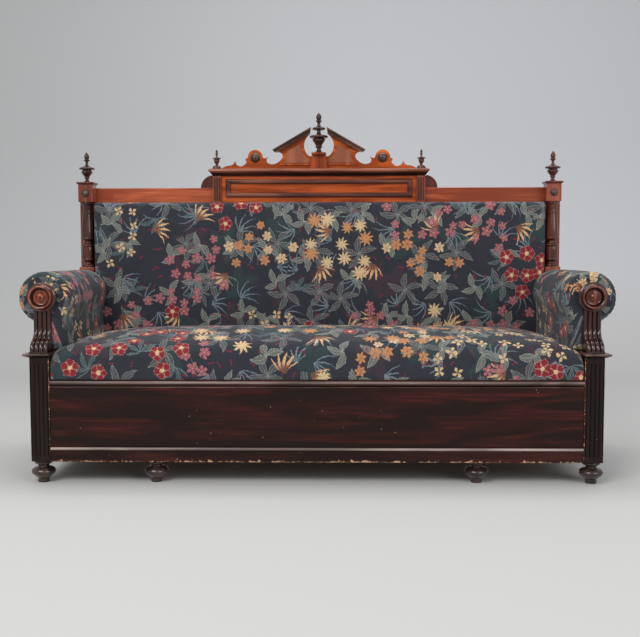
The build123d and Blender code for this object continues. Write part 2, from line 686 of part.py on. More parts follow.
# ---------------------------------------------------------------- pull-out bed section
DRAWER_SIDE = (838.0, 858.0)
DRAWER_BACK = 575.0
BOARD_THICK = 22.0


def drawer():
    front = block((-DRAWER_HALF, DRAWER_HALF), (0, BOARD_THICK), (BEAD_TOP, DRAWER_TOP))
    save("drawer_front_board", eased(front, 1.2))
    rail = block((-DRAWER_HALF, DRAWER_HALF), (0, 80), (FLOOR_TO_CARCASE, BASE_RAIL_TOP))
    save("drawer_base_rail", eased(rail, 1.2))
    save("drawer_bead", nosed_board((0, BOARD_THICK), (BASE_RAIL_TOP, BEAD_TOP), 6, DRAWER_HALF))
    slat_bottom = SLAT_BED + SLAT_PLAY
    side = block(DRAWER_SIDE, (BOARD_THICK, DRAWER_BACK), (slat_bottom, 316))
    save_pair("drawer_sides", side)
    ledger = block((-DRAWER_SIDE[0], DRAWER_SIDE[0]), (BOARD_THICK, 47),
                   (BASE_RAIL_TOP, slat_bottom))
    save("drawer_ledger", ledger)
    slats = []
    for i in range(FIXED_SLATS - 1):
        middle = (i - (FIXED_SLATS - 2) / 2) * SLAT_PITCH
        slats.append(block((middle - SLAT_WIDE / 2, middle + SLAT_WIDE / 2),
                           (BOARD_THICK, DRAWER_BACK), (slat_bottom, slat_bottom + SLAT_THICK)))
    save("drawer_slats", *slats)
    stop_front = POST_DEEP + DRAWER_TRAVEL + 2
    stop = block((DRAWER_SIDE[1], DRAWER_SIDE[1] + 20), (stop_front, DRAWER_BACK), (180, 280))
    save_pair("drawer_stops", stop)
    middle_foot = Pos(DRAWER_FOOT_OUT, FRONT_FACE + DRAWER_FOOT_DEPTH, 0) * foot()
    save_pair("drawer_feet", middle_foot)


os.makedirs("parts", exist_ok=True)
corner_feet()
ends()
seat_support()
bed_base()
back_frame()
crest()
post_heads()
arms()
seat()
drawer()
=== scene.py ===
# %% [markdown]
# # A pull-out sofa bed, dressed round its frame
# The construction of this sofa comes ready made: posts, rails, turnings and slats stand where they
# belong, in metres, with the front facing -Y. This script gives each timber its finish, upholsters
# the seat, back and arms, and lights the sofa as in a studio. Nothing that is already there moves.

# %% Load the frame
import math

import bmesh
import bpy
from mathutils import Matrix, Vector, noise


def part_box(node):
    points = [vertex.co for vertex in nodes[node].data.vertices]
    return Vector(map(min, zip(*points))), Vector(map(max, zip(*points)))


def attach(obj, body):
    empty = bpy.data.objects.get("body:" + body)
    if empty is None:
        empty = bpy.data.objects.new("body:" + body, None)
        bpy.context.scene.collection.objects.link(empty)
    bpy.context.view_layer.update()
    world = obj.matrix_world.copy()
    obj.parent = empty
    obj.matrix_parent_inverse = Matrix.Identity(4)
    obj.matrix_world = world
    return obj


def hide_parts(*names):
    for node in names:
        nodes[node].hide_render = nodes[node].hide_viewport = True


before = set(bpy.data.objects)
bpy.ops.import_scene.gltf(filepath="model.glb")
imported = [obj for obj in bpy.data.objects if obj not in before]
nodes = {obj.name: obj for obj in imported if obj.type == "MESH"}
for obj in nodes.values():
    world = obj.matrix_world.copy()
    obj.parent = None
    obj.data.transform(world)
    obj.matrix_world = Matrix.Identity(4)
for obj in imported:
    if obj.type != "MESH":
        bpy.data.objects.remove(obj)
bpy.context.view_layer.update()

# %% [markdown]
# ## Where the front is
# Most places below are counted as the maker counts them: out from the middle of the sofa, back
# from the plane of the front posts, and up from the floor. Reading that plane from a post keeps
# the upholstery tied to the timber, so a change to the timber carries through.

# %% The plane that depths are counted from
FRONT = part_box("drawer_front_board")[0].y


def spot(out, back, up):
    """A point out from the middle, back from the front plane and up from the floor."""
    return Vector((out, FRONT + back, up))


print("front plane at y =", round(FRONT, 4))

# %% [markdown]
# ## The camera
# A sofa is looked at from in front at about chest height, so that the seat shows a little of its
# top. A long lens keeps the arms from looking splayed. The focal length is given in pixels of a
# picture 640 wide, which turns into a lens length once it is set against the sensor's width.

# %% Camera
FOCAL_PIXELS = 925.0
PICTURE_WIDE = 640.0
SENSOR_WIDE = 36.0
CAMERA_SPOT = (0.0663, -2.956, 0.745)
CAMERA_TURN = (3.957, 0.067, 1.0015)  # degrees down, clockwise and to the left

camera_data = bpy.data.cameras.new("camera")
camera_data.sensor_width = SENSOR_WIDE
camera_data.lens = SENSOR_WIDE * FOCAL_PIXELS / PICTURE_WIDE
camera = bpy.data.objects.new("camera", camera_data)
camera.location = spot(*CAMERA_SPOT)
down, tilt, left = (math.radians(angle) for angle in CAMERA_TURN)
camera.rotation_euler = (math.pi / 2 - down, tilt, left)
bpy.context.scene.collection.objects.link(camera)
bpy.context.scene.camera = camera
print("lens", round(camera_data.lens, 1), "mm")

# %% [markdown]
# ## Shader arithmetic
# A grain, a weave or a flower is a formula of place. Blender wants each sum as a node with links,
# which is slow to read. So a socket is wrapped in a small class whose operators add the Math
# nodes: `1 - ring * 0.5` then reads as it would on paper. Every other node comes from one method.

# %% A socket that can be added, multiplied and compared
def math_node(operation):
    """A method for Term that adds one Math node."""
    def method(self, *others):
        return self.math(operation, *others)
    return method


class Term:
    """A number that varies over a surface: the output of some node."""

    def __init__(self, finish, socket):
        self.finish = finish
        self.socket = socket

    def math(self, operation, *others):
        return self.finish.node("Math", {"operation": operation}, self, *others)[0]

    def __rsub__(self, other):
        return self.finish.node("Math", {"operation": "SUBTRACT"}, other, self)[0]

    def rise(self, start, end):
        """0 before start, 1 after end, smooth between. Start may be the larger."""
        settings = {"interpolation_type": "SMOOTHSTEP"}
        return self.finish.node("MapRange", settings, Value=self, From_Min=start, From_Max=end)[0]

    __add__ = __radd__ = math_node("ADD")
    __sub__ = math_node("SUBTRACT")
    __mul__ = math_node("MULTIPLY")
    __truediv__ = math_node("DIVIDE")
    __pow__ = math_node("POWER")
    __gt__ = math_node("GREATER_THAN")
    __lt__ = math_node("LESS_THAN")
    __abs__ = math_node("ABSOLUTE")
    low = math_node("MINIMUM")
    high = math_node("MAXIMUM")
    sin = math_node("SINE")
    cos = math_node("COSINE")
    root = math_node("SQRT")
    wrap = math_node("WRAP")


# %% A finish: one material and the nodes in it
class Finish:
    """A material for one kind of surface, built up from Terms."""

    def __init__(self, name):
        self.material = bpy.data.materials.new(name)
        self.material.use_nodes = True
        self.nodes = self.material.node_tree.nodes
        self.links = self.material.node_tree.links
        self.nodes.clear()

    def node(self, kind, settings=None, *inputs, **named):
        """Adds a node, sets it up, feeds its sockets, and returns its outputs as Terms."""
        made = self.nodes.new("ShaderNode" + kind)
        for key, value in (settings or {}).items():
            setattr(made, key, value)
        for index, value in enumerate(inputs):
            self.feed(made.inputs[index], value)
        for key, value in named.items():
            self.feed(made.inputs[key.replace("_", " ")], value)
        return [Term(self, socket) for socket in made.outputs if socket.enabled]

    def feed(self, socket, value):
        if isinstance(value, Term):
            self.links.new(value.socket, socket)
        elif value is not None:
            socket.default_value = value

    def place(self):
        """Object coordinates, in metres."""
        return self.node("TexCoord")[3]

    def split(self, vector):
        return self.node("SeparateXYZ", None, vector)

    def stretch(self, vector, factors):
        return self.node("VectorMath", {"operation": "MULTIPLY"}, vector, factors)[0]

    def noise(self, vector, scale=1.0, detail=3.0, roughness=0.5, distortion=0.0):
        return self.node("TexNoise", None, Vector=vector, Scale=scale, Detail=detail,
                         Roughness=roughness, Distortion=distortion)[0]

    def mix(self, factor, under, over):
        """A colour: under where factor is 0, over where it is 1."""
        made = self.nodes.new("ShaderNodeMix")
        made.data_type = "RGBA"
        for index, value in ((0, factor), (6, under), (7, over)):
            self.feed(made.inputs[index], paint(value))
        return Term(self, made.outputs[2])

    def bump(self, height):
        """A normal from a height in metres."""
        return self.node("Bump", None, Height=height, Strength=1.0, Distance=1.0)[0]

    def surface(self, **sockets):
        shader = self.node("BsdfPrincipled", None, **sockets)
        self.node("OutputMaterial", None, shader[0])
        return self.material


def paint(colour):
    """A colour written as three sRGB parts of 255 becomes the linear colour a shader wants."""
    if not isinstance(colour, tuple) or len(colour) != 3:
        return colour
    parts = []
    for part in colour:
        level = part / 255
        parts.append(level / 12.92 if level <= 0.04045 else ((level + 0.055) / 1.055) ** 2.4)
    return (*parts, 1.0)


print("shader arithmetic ready")

# %% [markdown]
# ## Studio floor, backdrop and light
# A dealer shows furniture before a pale curved backdrop under large soft lamps. One sheet that
# runs from floor to wall with a wide curve between them gives no horizon line. The sheet is a
# strip of grid bent with a quarter circle, which is simpler than a floor and a wall that must be
# joined.

# %% The paper sweep
SWEEP_BACK = 2.6    # where the floor starts to curve up, behind the front plane
SWEEP_RADIUS = 1.6
SWEEP_HALF = 9.0
SWEEP_TOP = 6.0
SWEEP_FRONT = -7.0
FLOOR_PAPER = (196, 196, 195)
WALL_DIM, WALL_LIT = (190, 191, 192), (203, 204, 208)


def sweep_point(travel):
    """Distance along the sheet becomes a place on floor, curve or wall."""
    floor_end = SWEEP_BACK - SWEEP_FRONT
    curve = SWEEP_RADIUS * math.pi / 2
    if travel < floor_end:
        return SWEEP_FRONT + travel, 0.0
    if travel < floor_end + curve:
        turn = (travel - floor_end) / SWEEP_RADIUS
        return SWEEP_BACK + SWEEP_RADIUS * math.sin(turn), SWEEP_RADIUS * (1 - math.cos(turn))
    return SWEEP_BACK + SWEEP_RADIUS, SWEEP_RADIUS + travel - floor_end - curve


def add_mesh(bm, name, *materials):
    """A bmesh becomes a smooth object at the origin, with its materials in their order."""
    mesh = bpy.data.meshes.new(name)
    bm.to_mesh(mesh)
    bm.free()
    for polygon in mesh.polygons:
        polygon.use_smooth = True
    for material in materials:
        mesh.materials.append(material)
    made = bpy.data.objects.new(name, mesh)
    bpy.context.scene.collection.objects.link(made)
    return made


def studio_paper():
    """Neutral on the floor, a little bluer on the wall, and duller where the wall runs out of
    light on one side."""
    finish = Finish("studio paper")
    across, _, up = finish.split(finish.place())
    wall = finish.mix(across.rise(-2.6, 0.6), WALL_DIM, WALL_LIT)
    colour = finish.mix(up.rise(0.0, 0.7), FLOOR_PAPER, wall)
    return finish.surface(Base_Color=colour, Roughness=0.9, Specular_IOR_Level=0.1)


sheet_length = SWEEP_BACK - SWEEP_FRONT + SWEEP_RADIUS * math.pi / 2 + SWEEP_TOP
bm = bmesh.new()
bmesh.ops.create_grid(bm, x_segments=2, y_segments=160, size=0.5)
for vert in bm.verts:
    back, up = sweep_point((vert.co.y + 0.5) * sheet_length)
    vert.co = spot(vert.co.x * 2 * SWEEP_HALF, back, up)
bmesh.ops.recalc_face_normals(bm, faces=bm.faces)
sweep = add_mesh(bm, "paper_sweep", studio_paper())
print("paper sweep", round(sheet_length, 2), "m long")

# %% Lamps and sky
SKY_STRENGTH = 0.5
LAMPS = (  # name, power in watts, size, place, what it points at
    ("key", 150.0, (3.0, 2.0), (-2.2, -3.6, 3.8), (0.0, 0.3, 0.7)),
    ("fill", 80.0, (3.0, 2.4), (3.4, -3.6, 2.6), (0.0, 0.3, 0.6)),
    ("top", 60.0, (3.6, 1.6), (0.0, 0.7, 3.6), (0.0, 0.7, 0.0)),
)

world = bpy.data.worlds.new("studio")
bpy.context.scene.world = world
world.use_nodes = True
background = world.node_tree.nodes["Background"]
background.inputs["Color"].default_value = (1.0, 1.0, 1.0, 1.0)
background.inputs["Strength"].default_value = SKY_STRENGTH
for name, power, size, place, target in LAMPS:
    data = bpy.data.lights.new(name, "AREA")
    data.energy = power
    data.shape = "RECTANGLE"
    data.size, data.size_y = size
    lamp = bpy.data.objects.new(name, data)
    lamp.location = spot(*place)
    lamp.rotation_euler = (spot(*target) - spot(*place)).to_track_quat("-Z", "Y").to_euler()
    bpy.context.scene.collection.objects.link(lamp)
bpy.context.scene.view_settings.view_transform = "Standard"
print(len(LAMPS), "lamps")

# %% [markdown]
# ## Polished mahogany
# Mahogany shows three things at once: broad bands where the tree grew at different speeds, fine
# streaks along the grain, and short dark pores that catch stain. All three are the same noise,
# squeezed by different amounts across the grain, so one function makes every timber. French polish
# is a clear coat over it, and it is a little duller where hands and dust have been.

# %% Wood
BAND_WIDE = 0.055
STREAK_WIDE = 0.006
PORE_WIDE = 0.0009
PORE_DARK = (22, 12, 10)


def along_grain(finish, place, grain, across, longer):
    """Place squeezed so that a noise of scale 1 is across wide and that many times longer."""
    factors = tuple(1 / (across * (longer if axis == grain else 1)) for axis in "XYZ")
    return finish.stretch(place, factors)


def wood_colour(finish, place, grain, colours, bands):
    """The bare timber's colour, and its pores as a mask."""
    dark, body, light = colours
    broad = finish.noise(along_grain(finish, place, grain, BAND_WIDE, 9), detail=4, distortion=1.2)
    streak = finish.noise(along_grain(finish, place, grain, STREAK_WIDE, 30), detail=5,
                          roughness=0.6)
    pore = finish.noise(along_grain(finish, place, grain, PORE_WIDE, 14), detail=1).rise(0.62, 0.72)
    colour = finish.mix(broad.rise(0.36, 0.36 + 0.3 / bands), dark, body)
    colour = finish.mix(streak.rise(0.45, 0.75) * broad.rise(0.42, 0.7), colour, light)
    colour = finish.mix((1 - streak).rise(0.52, 0.75) * 0.6, colour, dark)
    return finish.mix(pore * 0.45, colour, PORE_DARK), pore


def polished(finish, place, colour, pore, dull, coat, gloss):
    """French polish over a timber: gloss that varies, and pores that still show as dimples."""
    haze = finish.noise(place, scale=7.0, detail=4)
    rough = dull + (haze - 0.5) * 0.22 + pore * 0.1
    ripple = finish.noise(place, scale=55.0, detail=2)
    normal = finish.bump(pore * -0.00006 + ripple * 0.00012)
    return finish.surface(Base_Color=colour, Roughness=rough, Normal=normal, Coat_Weight=coat,
                          Coat_Roughness=0.1, Specular_IOR_Level=gloss)


# %% [markdown]
# ## Wear
# A century of feet, brooms and moves takes the stain off wherever two faces meet. The edges of
# this sofa are straight lines, so their places are known. The wear is the distance to such a
# line, upset by noise so that it chips instead of drawing a stripe.

# %% Chips along known edges
BARE_WOOD = (194, 154, 120)
CHIP_PATCHES, CHIP_CRUMBS = 24.0, 170.0    # scales of the noise that breaks a chipped edge up
NICKS = 42.0                               # places for a nick along a metre
NICK_SHARE = 0.26                          # of the places that have one


def distance_to_edge(finish, place, edge):
    """How far a point is from a straight edge given by two of its three coordinates. The sofa is
    the same left and right, so the distance out from the middle has no sign."""
    total = None
    for axis, (part, line) in enumerate(zip(finish.split(place), edge)):
        if line is None:
            continue
        away = abs((part if axis else abs(part)) - line)
        square = away * away
        total = square if total is None else total + square
    return total.root()


def chips(finish, place, edges, reach):
    """A mask of missing stain along a list of edges, at most reach wide where it is worst."""
    nearest = None
    for edge in edges:
        distance = distance_to_edge(finish, place, edge)
        nearest = distance if nearest is None else nearest.low(distance)
    patchy = finish.noise(place, scale=CHIP_PATCHES, detail=5, roughness=0.7)
    crumb = finish.noise(place, scale=CHIP_CRUMBS, detail=3)
    allowed = (patchy.rise(0.4, 0.62) + crumb * 6 - 3.35) * reach
    return (allowed - nearest).rise(-0.0003, 0.0005)


def nicks(finish, place):
    """Small bare spots where something has knocked through the polish."""
    distance, luck, _ = finish.node("TexVoronoi", None, Vector=place, Scale=NICKS)
    luck = finish.split(luck)
    return (distance < luck[1] * 0.05 + 0.035) * (luck[0] > 1 - NICK_SHARE)


def mahogany(name, grain, colours, edges=(), bands=1.0, dull=0.32, coat=0.14, reach=0.003,
             stained=None, gloss=0.25, nicked=False):
    """One polished mahogany, chipped along the edges that are listed. What is stained gets the
    finish and the place, and gives back a mask and the second set of colours for it: real stains
    and wear, and painted light and shade."""
    finish = Finish(name)
    place = finish.place()
    colour, pore = wood_colour(finish, place, grain, colours, bands)
    if stained:
        mask, second = stained(finish, place)
        colour = finish.mix(mask, colour, wood_colour(finish, place, grain, second, bands)[0])
    if edges:
        colour = finish.mix(chips(finish, place, edges, reach), colour, BARE_WOOD)
    if nicked:
        colour = finish.mix(nicks(finish, place) * 0.7, colour, BARE_WOOD)
    return polished(finish, place, colour, pore, dull, coat, gloss)


print("wood finishes ready")

# %% [markdown]
# ## Which timber gets which finish
# The lower box has gone nearly black with polish and soot, with red showing in the middle of the
# boards. The crest has bleached to orange. The mouldings and turnings between were stained dark
# from the start. The frame inside is plain pine that was never finished.

# %% Colours of the show wood: dark bands, body and light streaks
NEAR_BLACK = ((18, 10, 9), (33, 18, 16), (58, 28, 22))
POST_WORN = ((40, 19, 15), (64, 32, 26), (110, 74, 60))
BASE_RED = ((32, 14, 12), (56, 24, 19), (88, 40, 29))
BOX_RED = ((29, 15, 13), (52, 21, 18), (88, 32, 24))
CONSOLE_RED = ((34, 15, 13), (56, 26, 22), (80, 40, 33))
# a pale rubbed brown, also painted on the ledge's lip as its highlight
LEDGE_WORN_AND_LIT = ((62, 44, 39), (104, 82, 74), (136, 112, 102))
# pale colours for a rounded nose and a bead: partly rubbed wood, partly a painted highlight
NOSE_RUBBED_AND_LIT = ((78, 62, 58), (124, 106, 101), (156, 138, 132))
BEAD_RUBBED_AND_LIT = ((110, 94, 89), (168, 151, 145), (198, 181, 174))
# a dark brown painted as shade, in the cornice's hollow and in a rosette's groove and rim
PAINTED_SHADE_DARK = ((28, 14, 11), (48, 23, 18), (68, 34, 26))
# a darker brown painted as shade in the bottoms of the flutes
FLUTE_SHADE_BROWN = ((54, 25, 18), (82, 40, 29), (102, 54, 41))
TURNED_DARK = ((46, 25, 19), (80, 45, 35), (112, 70, 57))
RAKING_BROWN = ((64, 37, 28), (100, 62, 48), (132, 90, 73))
MOULDING_BROWN = ((60, 29, 21), (110, 61, 47), (148, 96, 79))
EAR_BROWN = ((82, 39, 31), (116, 60, 48), (142, 84, 69))
STRIP_BROWN = ((88, 42, 28), (132, 68, 47), (156, 90, 67))
MIDDLE_BROWN = ((66, 30, 20), (114, 56, 40), (148, 80, 58))
ROSETTE_RED = ((84, 36, 19), (140, 64, 35), (172, 94, 57))
BALUSTER_BROWN = ((46, 21, 15), (86, 44, 32), (118, 66, 48))
KEY_RED = ((100, 41, 18), (156, 70, 34), (180, 96, 54))
POST_RED = ((100, 44, 30), (150, 76, 56), (184, 108, 83))
# the cornice's red is painted light, as the highlight on its nose; its hollow gets painted shade
CORNICE_RED_LIT = ((110, 60, 44), (166, 102, 80), (190, 130, 108))
RAIL_ORANGE = ((128, 52, 26), (176, 84, 48), (200, 112, 72))
CREST_ORANGE = ((128, 50, 18), (178, 80, 34), (206, 110, 56))
PEDIMENT_ORANGE = ((142, 60, 19), (198, 93, 35), (220, 124, 60))
BOSS_BROWN = ((50, 36, 29), (84, 64, 52), (108, 86, 72))
FOOT_BROWN = ((34, 24, 21), (60, 44, 38), (88, 69, 60))
PALE_VENEER = ((138, 78, 54), (162, 96, 69), (178, 114, 87))


# %% Where a timber is stained differently, and where light and shade are painted on it
TURNED_LOW, TURNED_HIGH = 0.699, 0.945     # heights of a rear post's turned length
NOSE_UNDER = 1.054                         # height where the cornice's hollow ends
PANEL_FOOT = 1.094                         # height of the foot of the pediment's veneer
FLUTE_FACE = 0.6046                        # depth of the face that the flutes are cut in
GROOVE_RADIUS, RIM_RADIUS = 0.0285, 0.036  # of an arm rosette
rosette_low, rosette_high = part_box("arm_rosettes")
ROSETTE_UP = (rosette_low.z + rosette_high.z) / 2
ROSETTE_OUT = rosette_high.x - (rosette_high.z - rosette_low.z) / 2
BOARD_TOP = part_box("drawer_front_board")[1].z
post_low, post_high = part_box("front_post_right")
ledge_low, ledge_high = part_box("ledge_right")


def turned_part(finish, place):
    """The turned length of a rear post took the stain darker than its square ends."""
    up = finish.split(place)[2]
    return (up > TURNED_LOW) * (up < TURNED_HIGH), BALUSTER_BROWN


def shade_under_the_nose(finish, place):
    """Painted shade in the hollow of the cornice, under its nose."""
    return 1 - finish.split(place)[2].rise(NOSE_UNDER, NOSE_UNDER + 0.006), PAINTED_SHADE_DARK


def below_the_panel(finish, place):
    """The bead under the pale panels is cut from the pediment's own wood."""
    return finish.split(place)[2] < PANEL_FOOT, PEDIMENT_ORANGE


def flutes(finish, place):
    """The bottoms of the flutes, told from the face they are cut in by how deep they lie, are
    painted darker as shade.
    """
    return finish.split(place)[1] > FRONT + FLUTE_FACE, FLUTE_SHADE_BROWN


def rosette_shade(finish, place):
    """Painted shade in the groove inside a rosette's ring, and on its outer rim."""
    out, _, up = finish.split(place)
    out, up = abs(out) - ROSETTE_OUT, up - ROSETTE_UP
    radius = (out * out + up * up).root()
    groove = 1 - abs(radius - GROOVE_RADIUS).rise(0.0025, 0.0045)
    return groove.high(radius.rise(RIM_RADIUS, RIM_RADIUS + 0.003) * 0.75), PAINTED_SHADE_DARK


def lit_and_rubbed_line(node, higher, reach):
    """A rounded nose is pale along its foremost line only, partly rubbed and partly a painted
    highlight:
    within reach of a height that lies a little off the middle of the node. Away from it the nose
    has the base rail's dark red."""
    low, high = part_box(node)
    line = (low.z + high.z) / 2 + higher

    def stain(finish, place):
        away = abs(finish.split(place)[2] - line)
        return away.rise(reach, reach + 0.0015), BASE_RED
    return stain


def board_top(finish, place):
    """A thin rubbed line where hands pull the front board."""
    return finish.split(place)[2].rise(BOARD_TOP - 0.004, BOARD_TOP - 0.002) * 0.8, LEDGE_WORN_AND_LIT


def inner_edge(finish, place):
    """The inner corner of a front post has lost its stain to knees and bedding."""
    out, _, up = finish.split(place)
    strip = 1 - abs(out).rise(post_low.x + 0.0035, post_low.x + 0.009)
    return strip * up.rise(0.08, 0.3), POST_WORN


def ledge_edge(finish, place):
    """Only its lip keeps the pale colour, partly rubbed and partly a painted highlight; below
    it the ledge is as dark as the post.
    """
    return 1 - finish.split(place)[2].rise(ledge_high.z - 0.0065, ledge_high.z - 0.005), NEAR_BLACK


print("rosettes at", round(ROSETTE_OUT, 3), "out and", round(ROSETTE_UP, 3), "up")

# %% Finishes for the show wood
rail_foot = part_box("drawer_base_rail")[0].z
post_edges = [(post_high.x, FRONT, None), (None, FRONT, post_low.z),
              (post_high.x, None, post_low.z), (post_low.x + 0.002, FRONT, None)]
rail_edges = [(None, FRONT, rail_foot)]
end_edges = [(post_high.x, None, rail_foot)]
ledge_edges = [(None, ledge_low.y, ledge_high.z), (ledge_high.x, None, ledge_high.z)]

dress = {
    "drawer_front_board": mahogany("mahogany_board", "X", BOX_RED, bands=0.9, dull=0.26, coat=0.07,
                                   gloss=0.15, stained=board_top, nicked=True),
    "front_post": mahogany("mahogany_post", "Z", NEAR_BLACK, post_edges, dull=0.36, coat=0.05,
                           reach=0.0009, gloss=0.2, stained=inner_edge, nicked=True),
    "drawer_base_rail": mahogany("mahogany_base", "X", BASE_RED, rail_edges, dull=0.26, coat=0.07,
                                 reach=0.0055, gloss=0.15, nicked=True),
    "front_rail": mahogany("mahogany_nose", "X", NOSE_RUBBED_AND_LIT, dull=0.4,
                           stained=lit_and_rubbed_line("front_rail", 0.002, 0.003)),
    "drawer_bead": mahogany("mahogany_bead", "X", BEAD_RUBBED_AND_LIT, dull=0.4,
                            stained=lit_and_rubbed_line("drawer_bead", -0.0005, 0.0035)),
    "end_base_rails": mahogany("mahogany_end_base", "Y", BASE_RED, end_edges, reach=0.0034),
    "end_panel": mahogany("mahogany_end", "Z", BOX_RED, dull=0.34),
    "ledge": mahogany("mahogany_ledge", "Y", LEDGE_WORN_AND_LIT, ledge_edges, reach=0.0012,
                      stained=ledge_edge),
    "arm_console": mahogany("mahogany_console", "Z", CONSOLE_RED, dull=0.18, coat=0.9),
    "arm_rosettes": mahogany("mahogany_rosette", "Z", ROSETTE_RED, dull=0.2, coat=0.6,
                             stained=rosette_shade),
    "rear_post": mahogany("mahogany_rear_post", "Z", POST_RED, dull=0.24, coat=0.4,
                          stained=turned_part),
    "back_stile": mahogany("mahogany_stile", "Z", POST_RED),
    "back_top_rail": mahogany("mahogany_rail", "X", RAIL_ORANGE, dull=0.36),
    "crest_panel": mahogany("mahogany_crest", "X", CREST_ORANGE, bands=1.4, dull=0.34, coat=0.07,
                            gloss=0.15),
    "pediment_board": mahogany("mahogany_pediment", "X", PEDIMENT_ORANGE, dull=0.36, coat=0.07,
                               gloss=0.15),
    "crest_strips": mahogany("mahogany_strip", "Z", STRIP_BROWN, dull=0.36, stained=flutes),
    "ear_brackets": mahogany("mahogany_ear", "Z", EAR_BROWN, dull=0.3),
    "keystone": mahogany("mahogany_keystone", "Z", KEY_RED, dull=0.34, coat=0.07, gloss=0.15),
    "raking_cornices": mahogany("mahogany_raking", "X", RAKING_BROWN, dull=0.3, coat=0.2),
    "cornice": mahogany("mahogany_cornice", "X", CORNICE_RED_LIT, dull=0.3, coat=0.2,
                        stained=shade_under_the_nose),
    "panel_moulding": mahogany("mahogany_moulding", "X", MOULDING_BROWN, dull=0.24, coat=0.35),
    "post_caps": mahogany("mahogany_cap", "Z", MIDDLE_BROWN, dull=0.28, coat=0.2),
    "post_finials": mahogany("mahogany_turning", "Z", TURNED_DARK, dull=0.22, coat=0.4),
    "post_bosses": mahogany("mahogany_boss", "Z", BOSS_BROWN, dull=0.24, coat=0.35),
    "corner_feet": mahogany("mahogany_feet", "Z", FOOT_BROWN, dull=0.26, coat=0.8),
    "tympanum_panels": mahogany("veneer", "Z", PALE_VENEER, dull=0.4, stained=below_the_panel),
}
same_finish = {
    "drawer_feet": "corner_feet", "pediment_bosses": "post_bosses",
    "centre_finial": "post_finials", "cornice_finials": "post_finials",
}
print(len(dress), "show-wood finishes")

# %% [markdown]
# ## The parts nobody sees
# Under the seat and behind the back the makers used what was cheap: sawn pine gone brown with
# age, jute straps, and steel springs washed with copper against rust. They come from the same two
# or three noises as the mahogany, only dry, without any polish.

# %% Pine, jute, springs
PINE_AGED, GRIME = ((128, 92, 58), (172, 134, 92), (198, 164, 120)), (84, 64, 46)
JUTE_DARK, JUTE_LIGHT, JUTE_GAP = (118, 92, 60), (176, 146, 102), (92, 70, 44)
COPPER, SPRING_RUST = (168, 108, 72), (86, 50, 34)
SAW_PITCH = 0.004
JUTE_THREAD = 0.0022


def plain_pine(name, grain):
    finish = Finish(name)
    place = finish.place()
    colour, pore = wood_colour(finish, place, grain, PINE_AGED, bands=1.4)
    grime = finish.noise(place, scale=5.0, detail=4).rise(0.45, 0.75)
    colour = finish.mix(grime * 0.45, colour, GRIME)
    saw = (finish.split(place)["XYZ".index(grain)] * (2 * math.pi / SAW_PITCH)).sin()
    normal = finish.bump(saw * 0.00006 - pore * 0.0002)
    return finish.surface(Base_Color=colour, Roughness=grime * 0.15 + 0.68, Normal=normal)


def woven(across, along, thread):
    """Plain weave: threads over and under each other, as a height from 0 to 1."""
    warp = (across * (math.pi / thread)).sin()
    weft = (along * (math.pi / thread)).sin()
    return (warp * weft) * 0.5 + 0.5


def jute_webbing():
    finish = Finish("jute_strap")
    place = finish.place()
    x, y, _ = finish.split(place)
    weave = woven(x, y, JUTE_THREAD)
    slub = finish.noise(finish.stretch(place, (220, 30, 1)), detail=3)
    colour = finish.mix(slub, JUTE_DARK, JUTE_LIGHT)
    colour = finish.mix(weave * 0.4, colour, JUTE_GAP)
    return finish.surface(Base_Color=colour, Roughness=0.95,
                          Normal=finish.bump(weave * 0.0004 + slub * 0.0003))


def coppered_steel():
    finish = Finish("coppered_steel")
    place = finish.place()
    rust = finish.noise(place, scale=60.0, detail=6).rise(0.5, 0.62)
    colour = finish.mix(rust, COPPER, SPRING_RUST)
    return finish.surface(Base_Color=colour, Metallic=1 - rust * 0.8, Roughness=rust * 0.4 + 0.34,
                          Normal=finish.bump(rust * 0.0001))


dress["seat_webbing"] = jute_webbing()
dress["seat_springs"] = coppered_steel()
for grain, timbers in {
    "X": ("seat_bearers", "slat_bearers", "back_board", "back_lower_rail", "seat_frame",
          "drawer_ledger"),
    "Y": ("end_top_rails", "drawer_runners", "fixed_slats", "drawer_slats", "drawer_sides",
          "arm_frames", "drawer_stops"),
    "Z": ("back_uprights",),
}.items():
    pine = plain_pine("pine_along_" + grain, grain)
    dress.update({timber: pine for timber in timbers})

# %% Give every timber its finish
SOFT_SOLIDS = ("seat_cushion", "backrest_pad", "arm_pad", "outside_back_cloth")
undressed = []
for name, timber in nodes.items():
    kind = name.removesuffix("_left").removesuffix("_right")
    kind = same_finish.get(kind, kind)
    if kind in SOFT_SOLIDS:
        continue
    if kind not in dress:
        undressed.append(name)
        continue
    for slot in timber.material_slots:
        slot.material = dress[kind]
print("left without a finish:", undressed or "none")
print("triangles in the springs:", len(nodes["seat_springs"].data.polygons))

# %% [markdown]
# ## The flowered cover
# The cover is a woven furnishing cloth: a near-black blue ground strewn with small flowers, in
# the manner of old verdure tapestries. A strewn pattern is one motif planted again and again,
# each time turned and coloured a little differently. Blender's Voronoi texture does the planting:
# it tells any point where the nearest planted middle is, and gives that plant its own random
# numbers. The rest is drawing a petal as a formula. The cloth has its own UV map, in metres along
# the threads, so flowers follow the cloth over a rounded edge instead of running through it.

# %% The cover before anything is drawn on it
THREAD = 0.0009
GROUND_DARK, GROUND_FADED = (38, 41, 49), (52, 55, 63)
OUTLINE_WANDER = 0.013     # how far the woven outlines stray, in metres


